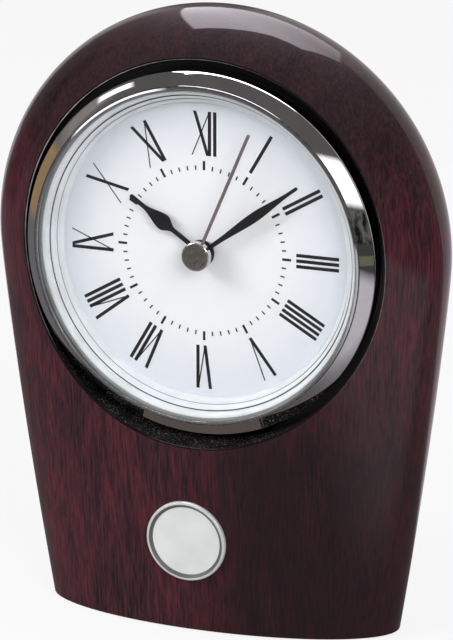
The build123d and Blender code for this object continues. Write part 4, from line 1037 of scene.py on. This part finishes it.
class CLOCK_OT_medallion(bpy.types.Operator):
    """Builds the medallion's polished cup and its bare satin plate"""

    bl_idname = "clock.build_medallion"
    bl_label = "Medallion"

    def execute(self, context):
        sizes = context.scene.clock_insert
        colours = context.scene.clock_finishes
        low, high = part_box("medallion_plate")
        # The plate leans with the front, which makes its box deeper than it is thick. Cup and plate are
        # profiles turned round the leaning axis.
        lean = (high.y - low.y - sizes.plate_thick) / (2 * PLATE_R)
        normal = unit(np.array([0.0, -1.0, -lean]))
        axes = np.stack([np.array([1.0, 0.0, 0.0]), np.cross(normal, (1.0, 0.0, 0.0)), normal])
        floor = sizes.medallion_floor - sizes.medallion_depth
        face = floor + sizes.plate_thick
        place = (np.array((low + high) / 2) - normal * (floor + face) / 2, axes)
        inner = CUP_R - sizes.medallion_rim
        crest = CUP_R - sizes.medallion_crest
        brink = crest - sizes.medallion_slope
        corners = [(0.0, -sizes.medallion_depth), (CUP_R, -sizes.medallion_depth),
                   (CUP_R, sizes.medallion_proud), (crest, sizes.medallion_proud),
                   (brink, face + 0.04 * MM), (brink, face), (inner, face), (inner, floor), (0.0, floor)]
        radii = np.zeros(len(corners))
        radii[1:4] = (SMALL_ROUND, sizes.medallion_round, SMALL_ROUND)
        profile = rounded(corners, radii, steps=8)
        radius, height = profile.T
        inside = np.roll(radius, -1) < crest - SMALL_ROUND
        sloping = inside & (radius > brink - 0.01 * MM) & (height > face)
        # Partly painted highlight: the crest's near-white tone with little metal stands in for the bright
        # reflection along a polished rim.
        chrome = satin_metal("medallion_bright", colours.plate, 0.2, metallic=0.35)
        dull = satin_metal("medallion_slope_grey", colours.slope, 0.4, metallic=0.5)
        surface = grid(turned(profile, place, columns=200), finish=sloping.astype(int)[None, :])
        make_piece("medallion_rim", [surface], [chrome, dull], FIXED_BODY, ["medallion_cup"])
        corners = [(0.0, floor), (PLATE_R, floor), (PLATE_R, face), (0.0, face)]
        profile = rounded(corners, [0.0, 0.0, sizes.plate_round, 0.0], steps=5)
        satin = satin_metal("plate_satin_silver", colours.plate, 0.5, metallic=0.05)
        surface = grid(turned(profile, place, columns=160))
        make_piece("medallion_disc", [surface], [satin], FIXED_BODY, ["medallion_plate"])
        return {"FINISHED"}


def dress_node(name, material):
    """Packed solid with a finish in place of its plain one."""
    node = frame["nodes"][name]
    if not node.material_slots:
        node.data.materials.append(material)
    for slot in node.material_slots:
        slot.material = material


def slot_tone(slot):
    """The record's colour of a slot, in plain numbers."""
    return tuple(SLOT_COLOURS[slot][:3])


class CLOCK_OT_back(bpy.types.Operator):
    """Finishes the insert's cup, battery door, setting knob and rubber rings"""

    bl_idname = "clock.finish_back"
    bl_label = "Back of the Insert"

    def execute(self, context):
        shell = moulded_plastic("insert_black_plastic", slot_tone("black_plastic"), 0.5, 1300.0, 0.00001)
        for name in ("insert_cup", "battery_door", "setting_knob", "drive_chip"):
            dress_node(name, shell)
        rubber = moulded_plastic("ring_black_rubber", slot_tone("black_rubber"), 0.75, 700.0, 0.00001)
        dress_node("grip_ring", rubber)
        # Partly painted light: the seal is rubber, but its grey is paler than black rubber, standing in for light
        # on the bezel's lip.
        seal = context.scene.clock_finishes.seal
        dress_node("lens_gasket", moulded_plastic("seal_grey_rubber", seal, 0.6, 700.0))
        return {"FINISHED"}


class CLOCK_OT_movement(bpy.types.Operator):
    """Finishes the plates, wheels and electrics inside the insert"""

    bl_idname = "clock.finish_movement"
    bl_label = "Movement"

    def execute(self, context):
        plates = moulded_plastic("plate_plastic", slot_tone("movement_plastic"), 0.45)
        wheels = moulded_plastic("wheel_plastic", slot_tone("gear_plastic"), 0.38)
        brass = satin_metal("brass_turned", slot_tone("brass"), 0.28)
        steel = satin_metal("steel_bright", slot_tone("steel"), 0.24)
        iron = satin_metal("iron_sheet", slot_tone("iron"), 0.45)
        magnet = satin_metal("magnet_dark", slot_tone("magnet"), 0.55)
        groups = (
            (plates, ("front_plate", "rear_plate")),
            (wheels, ("hour_wheel", "minute_wheel", "third_wheel", "seconds_wheel", "intermediate_wheel")),
            (brass, ("minute_tube", "centre_wheel", "contact_negative", "contact_positive")),
            (steel, ("plate_screws", "pillar_screws", "quartz_crystal", "battery_cell")),
            (iron, ("stator", "coil_core")),
            (magnet, ("rotor",)),
            (copper_winding(slot_tone("copper_winding")), ("coil",)),
            (circuit_board(slot_tone("board_green")), ("circuit_board",)),
        )
        for material, names in groups:
            for name in names:
                dress_node(name, material)
        return {"FINISHED"}


def aim(place, target):
    """Turn that points a lamp's -Z from its place to a target."""
    return (Vector(target) - Vector(place)).to_track_quat("-Z", "Y").to_euler()


# Each lamp's place, its width and height, and its power in watts.
LAMPS = {
    "lamp_over": ((0.0, -0.25, 1.5), (1.4, 1.2), 2.2),
    "lamp_right": ((0.85, -0.95, 0.75), (0.6, 0.6), 8.4),
    "lamp_left": ((-0.95, -0.85, 0.85), (0.7, 0.7), 9.2),
}
LAMP_TARGET = (0.0, 0.0, 0.09)

# Corners of the card overhead, each with its level.
OVER_HEIGHT = 1.15
OVER_TONE = (0.97, 0.94, 1.0)
OVER_STRENGTH = 8.0
OVER_CORNERS = ((-0.52, -0.33, 1.0), (-0.24, -0.27, 1.0), (0.03, -0.18, 1.0), (0.25, -0.20, 0.8),
                (0.52, 0.24, 0.35), (0.40, 1.0, 0.4), (-0.80, 1.0, 1.0))

# Each flat card for the metal: its middle, the vectors along its two sides, its soft share, its tone and
# strength, and its patches to the metre.
WHITE = (1.0, 1.0, 1.0)
METAL_CARDS = {
    "card_window": ((0.66, -0.51, 0.44), (0.30, 0.40, 0.0), (0.17, 0.012, -0.35), 0.30, WHITE, 1.8, 0.0),
    "card_shade": ((0.735, -0.485, 0.145), (0.24, 0.36, 0.0), (0.03, 0.01, -0.22), 0.15,
                   (0.06, 0.06, 0.055), 1.0, 14.0),
    "card_olive": ((0.40, -0.235, 0.018), (0.10, 0.17, 0.0), (0.0, 0.0, 0.036), 0.2,
                   (0.14, 0.15, 0.09), 1.0, 0.0),
    "card_streak": ((-0.72, -0.116, 0.627), (0.16, -0.11, 0.18), (0.009, -0.10, -0.017), 0.3,
                    WHITE, 1.8, 0.0),
    "card_haze": ((-0.95, -0.05, 0.50), (0.0, 0.36, 0.06), (0.22, -0.10, 0.52), 0.6,
                  (0.26, 0.24, 0.23), 1.0, 0.0),
    "card_strip": ((-0.60, -0.58, 0.38), (0.36, -0.21, 0.26), (-0.05, 0.15, 0.19), 0.25, WHITE, 1.6, 0.0),
    "card_ochre": ((-0.495, 0.047, 0.107), (0.0, 0.24, 0.0), (0.0, -0.10, 0.20), 0.3,
                   (0.33, 0.22, 0.12), 1.0, 0.0),
}


def soft_lamp(name, place, size, power):
    """Square-edged soft lamp, left out of reflections, where the cards stand in for it."""
    lamp = bpy.data.lights.new(name, "AREA")
    lamp.shape = "RECTANGLE"
    lamp.size, lamp.size_y = size
    lamp.energy = power
    rig = bpy.data.objects.new(name, lamp)
    rig.location = place
    rig.rotation_euler = aim(place, LAMP_TARGET)
    rig.visible_glossy = False
    bpy.context.scene.collection.objects.link(rig)


def panel(middle, across, upward):
    """Corners of a flat card from its middle and the two vectors along its sides."""
    sides = [(-0.5, -0.5), (0.5, -0.5), (0.5, 0.5), (-0.5, 0.5)]
    return np.array(middle) + np.array(sides) @ np.array([across, upward])


def sheet(corners, soft, levels=1.0):
    """Flat card as points, faces and glow: full in the middle, or to a level of its own near each corner,
    and fading out at the edges over the soft share of its half width."""
    corners = np.asarray(corners, float)
    count = len(corners)
    inner = corners + (corners.mean(axis=0) - corners) * soft
    index = np.arange(count)
    following = (index + 1) % count
    edges = np.stack([index, following, following + count, index + count], axis=-1)
    glow = np.concatenate([np.broadcast_to(levels, count), np.zeros(count)])
    return np.concatenate([inner, corners]), [index.tolist()] + edges.tolist(), glow


def ledge(radius, low, high, start, end, count=40):
    """Strip of a cylinder round the dial's axis as points, faces and glow, fading out at both ends."""
    share = np.linspace(0.0, 1.0, count)[:, None]
    angles = np.radians(start + (end - start) * share)
    height = np.broadcast_to(np.array([[low, high]]), (count, 2))
    local = [radius * np.sin(angles) + 0 * height, radius * np.cos(angles) + 0 * height, height]
    points, faces = grid(placed(np.stack(local, axis=-1), DIAL_PLACE), False, False)[:2]
    glow = np.broadcast_to(np.clip(4 * np.minimum(share, 1 - share), 0.0, 1.0), (count, 2))
    return points, faces.tolist(), glow.ravel()


def card(name, surface, tone, strength, seen_in, mottle=0.0):
    """Card that shows only in the reflections of a collection's pieces, even or mottled, with so many
    patches to the metre."""
    points, faces, glow = surface
    material, tree = new_material(name)
    shine = add(tree, "ShaderNodeAttribute", attribute_name="glow").outputs["Fac"]
    power = strength
    if mottle:
        patches = noise(tree, object_coordinates(tree), mottle, 2.0)
        power = spread(tree, patches, 0.42, 0.6, 0.2, 2.2 * strength)
    light = add(tree, "ShaderNodeEmission", {"Color": rgba(tone), "Strength": power})
    clear = add(tree, "ShaderNodeBsdfTransparent")
    show(tree, mix_shaders(tree, shine, clear, light))
    mesh = bpy.data.meshes.new(name)
    mesh.from_pydata(points.tolist(), [], faces)
    mesh.attributes.new("glow", "FLOAT", "POINT").data.foreach_set("value", glow.astype(np.float32))
    mesh.materials.append(material)
    board = bpy.data.objects.new(name, mesh)
    bpy.context.scene.collection.objects.link(board)
    for kind in ("camera", "diffuse", "transmission", "volume_scatter", "shadow"):
        setattr(board, "visible_" + kind, False)
    board.light_linking.receiver_collection = seen_in


def gather(name, *pieces):
    """Collection of the pieces that a card shows in."""
    chosen = bpy.data.collections.new(name)
    for piece in pieces:
        chosen.objects.link(bpy.data.objects[piece])
    return chosen


def ray_kinds(tree):
    """Two switches: one where the camera sees a surface straight or through the lens, and one where it is
    seen in a reflection, with no matt bounce on the way."""
    path = add(tree, "ShaderNodeLightPath").outputs
    matt = calculate(tree, "LESS_THAN", path["Diffuse Depth"], 0.5)
    bounces = calculate(tree, "ADD", path["Diffuse Depth"], path["Glossy Depth"])
    seen = calculate(tree, "LESS_THAN", bounces, 0.5)
    return seen, calculate(tree, "SUBTRACT", matt, seen)


def pale_floor(stage):
    """Large plain floor: nearly white to the camera, with the clock's shadow on it, a middle tone to the
    clock's matt sides, and in reflections dim in front, brighter close to the right and pale behind."""
    material, tree = new_material("floor_pale")
    seen, mirrored = ray_kinds(tree)
    tone = mix_colours(tree, seen, rgba((stage.floor_bounce,) * 3), rgba((stage.floor_pale,) * 3))
    matt = add(tree, "ShaderNodeBsdfDiffuse", {"Color": tone})
    white = add(tree, "ShaderNodeEmission", {"Color": rgba(WHITE), "Strength": 1.0})
    share = times(tree, seen, stage.floor_lift)
    both = mix_shaders(tree, share, matt, white)
    # Where the reflected tones change over, in metres, and how far the pale part slants away on each side.
    right_edge, front_edge, far_edge = (0.05, 0.10), (-0.05, -0.01), (0.26, 0.36)
    pale_edge, slant_right, slant_left = (0.03, 0.07), 0.35, -0.55
    place = components(tree, object_coordinates(tree))
    right = times(tree, spread(tree, place["X"], *right_edge, 0.0, 1.0),
                  spread(tree, place["Y"], *front_edge, 1.0, 0.0))
    near = spread(tree, right, 0.0, 1.0, stage.mirror_front, stage.mirror_right)
    beside = times(tree, near, spread(tree, place["X"], *far_edge, 1.0, 0.1))
    slanted = calculate(tree, "MAXIMUM", times(tree, place["X"], slant_right),
                        times(tree, place["X"], slant_left))
    past = calculate(tree, "SUBTRACT", place["Y"], slanted)
    behind = spread(tree, past, *pale_edge, 0.0, stage.mirror_back)
    glow = add(tree, "ShaderNodeEmission", {
        "Color": rgba((0.98, 0.95, 1.0)), "Strength": calculate(tree, "MAXIMUM", beside, behind)})
    show(tree, mix_shaders(tree, mirrored, both, glow))
    half = stage.floor_half
    mesh = bpy.data.meshes.new("floor")
    mesh.from_pydata([(-half, -half, 0.0), (half, -half, 0.0), (half, half, 0.0), (-half, half, 0.0)], [],
                     [(0, 1, 2, 3)])
    mesh.materials.append(material)
    floor = bpy.data.objects.new("floor", mesh)
    bpy.context.scene.collection.objects.link(floor)


def studio_world(stage):
    """Room round the stage: white to the camera, softly bright all round for matt surfaces, and for
    reflections dim, but pale behind to the left and the right."""
    world = bpy.data.worlds.new("studio")
    world.use_nodes = True
    tree = world.node_tree
    tree.nodes.clear()
    seen, mirrored = ray_kinds(tree)
    direction = add(tree, "ShaderNodeTexCoord").outputs["Generated"]
    towards = components(tree, direction)
    # The pale part starts at this share of straight back, and later on the left. A dim gap parts it.
    pale_edge, left_side, left_delay = (0.28, 0.36), (-0.3, 0.0), 0.24
    gap_left, gap_edge = 0.38, (0.08, 0.2)
    aside = calculate(tree, "ABSOLUTE", calculate(tree, "ADD", towards["X"], gap_left), 0.0)
    delay = spread(tree, towards["X"], *left_side, left_delay, 0.0)
    pale = times(tree, spread(tree, calculate(tree, "SUBTRACT", towards["Y"], delay), *pale_edge, 0.0, 1.0),
                 spread(tree, aside, *gap_edge, 0.0, 1.0))
    tone = spread(tree, pale, 0.0, 1.0, stage.surround_front, stage.mirror_back)
    dim = add(tree, "ShaderNodeBackground", {"Color": rgba((1.0, 0.95, 0.92)), "Strength": tone})
    soft = add(tree, "ShaderNodeBackground", {"Color": rgba(WHITE), "Strength": stage.ambient})
    white = add(tree, "ShaderNodeBackground", {"Color": rgba(WHITE), "Strength": 1.0})
    all_rays = mix_shaders(tree, seen, mix_shaders(tree, mirrored, soft, dim), white)
    add(tree, "ShaderNodeOutputWorld", {"Surface": all_rays.outputs[0]})
    bpy.context.scene.world = world


def photo_camera(stage):
    """Camera at the photograph's angle, from its turn, tilt and roll."""
    turn, tilt, roll = stage.camera_turn, stage.camera_tilt, stage.camera_roll
    ahead = Vector((-math.sin(turn) * math.cos(tilt), math.cos(turn) * math.cos(tilt), -math.sin(tilt)))
    right = ahead.cross(Vector((0.0, 0.0, 1.0))).normalized()
    up = right.cross(ahead)
    leaned_up = math.cos(roll) * up + math.sin(roll) * right
    leaned_right = math.cos(roll) * right - math.sin(roll) * up
    camera = bpy.data.cameras.new("photo_camera")
    camera.lens = stage.camera_lens
    camera.sensor_width = 36.0
    camera.sensor_fit = "AUTO"
    camera.clip_start = 0.01
    rig = bpy.data.objects.new("photo_camera", camera)
    turned_to = Matrix((leaned_right, leaned_up, -ahead)).transposed().to_4x4()
    rig.matrix_world = Matrix.Translation(stage.camera_place) @ turned_to
    bpy.context.scene.collection.objects.link(rig)
    bpy.context.scene.camera = rig


class CLOCK_OT_stage(bpy.types.Operator):
    """Sets the floor, the soft lamps, the reflection cards and the camera"""

    bl_idname = "clock.set_stage"
    bl_label = "Stage"

    def execute(self, context):
        stage = context.scene.clock_stage
        context.scene.view_settings.view_transform = "Standard"
        pale_floor(stage)
        studio_world(stage)
        for name, (place, size, power) in LAMPS.items():
            soft_lamp(name, place, size, power)
        metal_pieces = ("bezel_ring", "medallion_rim", "sweep_hand")
        glossy = gather("glossy_pieces", "case_body", *metal_pieces)
        metal = gather("bright_metal", *metal_pieces)
        over = [(x, y, OVER_HEIGHT) for x, y, level in OVER_CORNERS]
        levels = [level for x, y, level in OVER_CORNERS]
        card("card_over", sheet(over, 0.05, levels), OVER_TONE, OVER_STRENGTH, glossy)
        for name, (middle, across, upward, soft, tone, strength, mottle) in METAL_CARDS.items():
            card(name, sheet(panel(middle, across, upward), soft), tone, strength, metal, mottle)
        beside, low, high = 2.2 * MM, -1.0 * MM, 8.0 * MM
        brown = ledge(BEZEL_R + beside, low, high, start=128.0, end=242.0)
        card("card_ledge", brown, (0.11, 0.09, 0.08), 1.0, metal)
        photo_camera(stage)
        return {"FINISHED"}


class CLOCK_PT_panel(bpy.types.Panel):
    """Lists the clock's pieces in build order"""

    bl_idname = "CLOCK_PT_panel"
    bl_label = "Desk Clock"
    bl_space_type = "VIEW_3D"
    bl_region_type = "UI"
    bl_category = "Desk Clock"

    def draw(self, context):
        for operator in OPERATORS:
            self.layout.operator(operator.bl_idname)
        for name, group in GROUPS.items():
            box = self.layout.box()
            box.label(text=group.__doc__)
            for key in group.__annotations__:
                box.prop(getattr(context.scene, name), key)


GROUPS = {
    "clock_case": ClockCaseSizes,
    "clock_insert": ClockInsertSizes,
    "clock_marks": ClockDialMarks,
    "clock_finishes": ClockFinishes,
    "clock_stage": ClockStageSettings,
}
OPERATORS = (CLOCK_OT_case, CLOCK_OT_felt, CLOCK_OT_bezel, CLOCK_OT_lens, CLOCK_OT_chapter_ring,
             CLOCK_OT_dial, CLOCK_OT_hands, CLOCK_OT_medallion, CLOCK_OT_back, CLOCK_OT_movement,
             CLOCK_OT_stage)


def register():
    """Adds the clock's settings, operators and panel to Blender."""
    for group in GROUPS.values():
        bpy.utils.register_class(group)
    for operator in OPERATORS:
        bpy.utils.register_class(operator)
    bpy.utils.register_class(CLOCK_PT_panel)
    for name, group in GROUPS.items():
        setattr(bpy.types.Scene, name, PointerProperty(type=group))


def unregister():
    """Takes them away again."""
    for name in GROUPS:
        delattr(bpy.types.Scene, name)
    bpy.utils.unregister_class(CLOCK_PT_panel)
    for operator in reversed(OPERATORS):
        bpy.utils.unregister_class(operator)
    for group in reversed(GROUPS.values()):
        bpy.utils.unregister_class(group)


def main():
    """Builds every piece and the stage."""
    register()
    for operator in OPERATORS:
        group, name = operator.bl_idname.split(".")
        getattr(getattr(bpy.ops, group), name)()


if __name__ == "__main__":
    main()
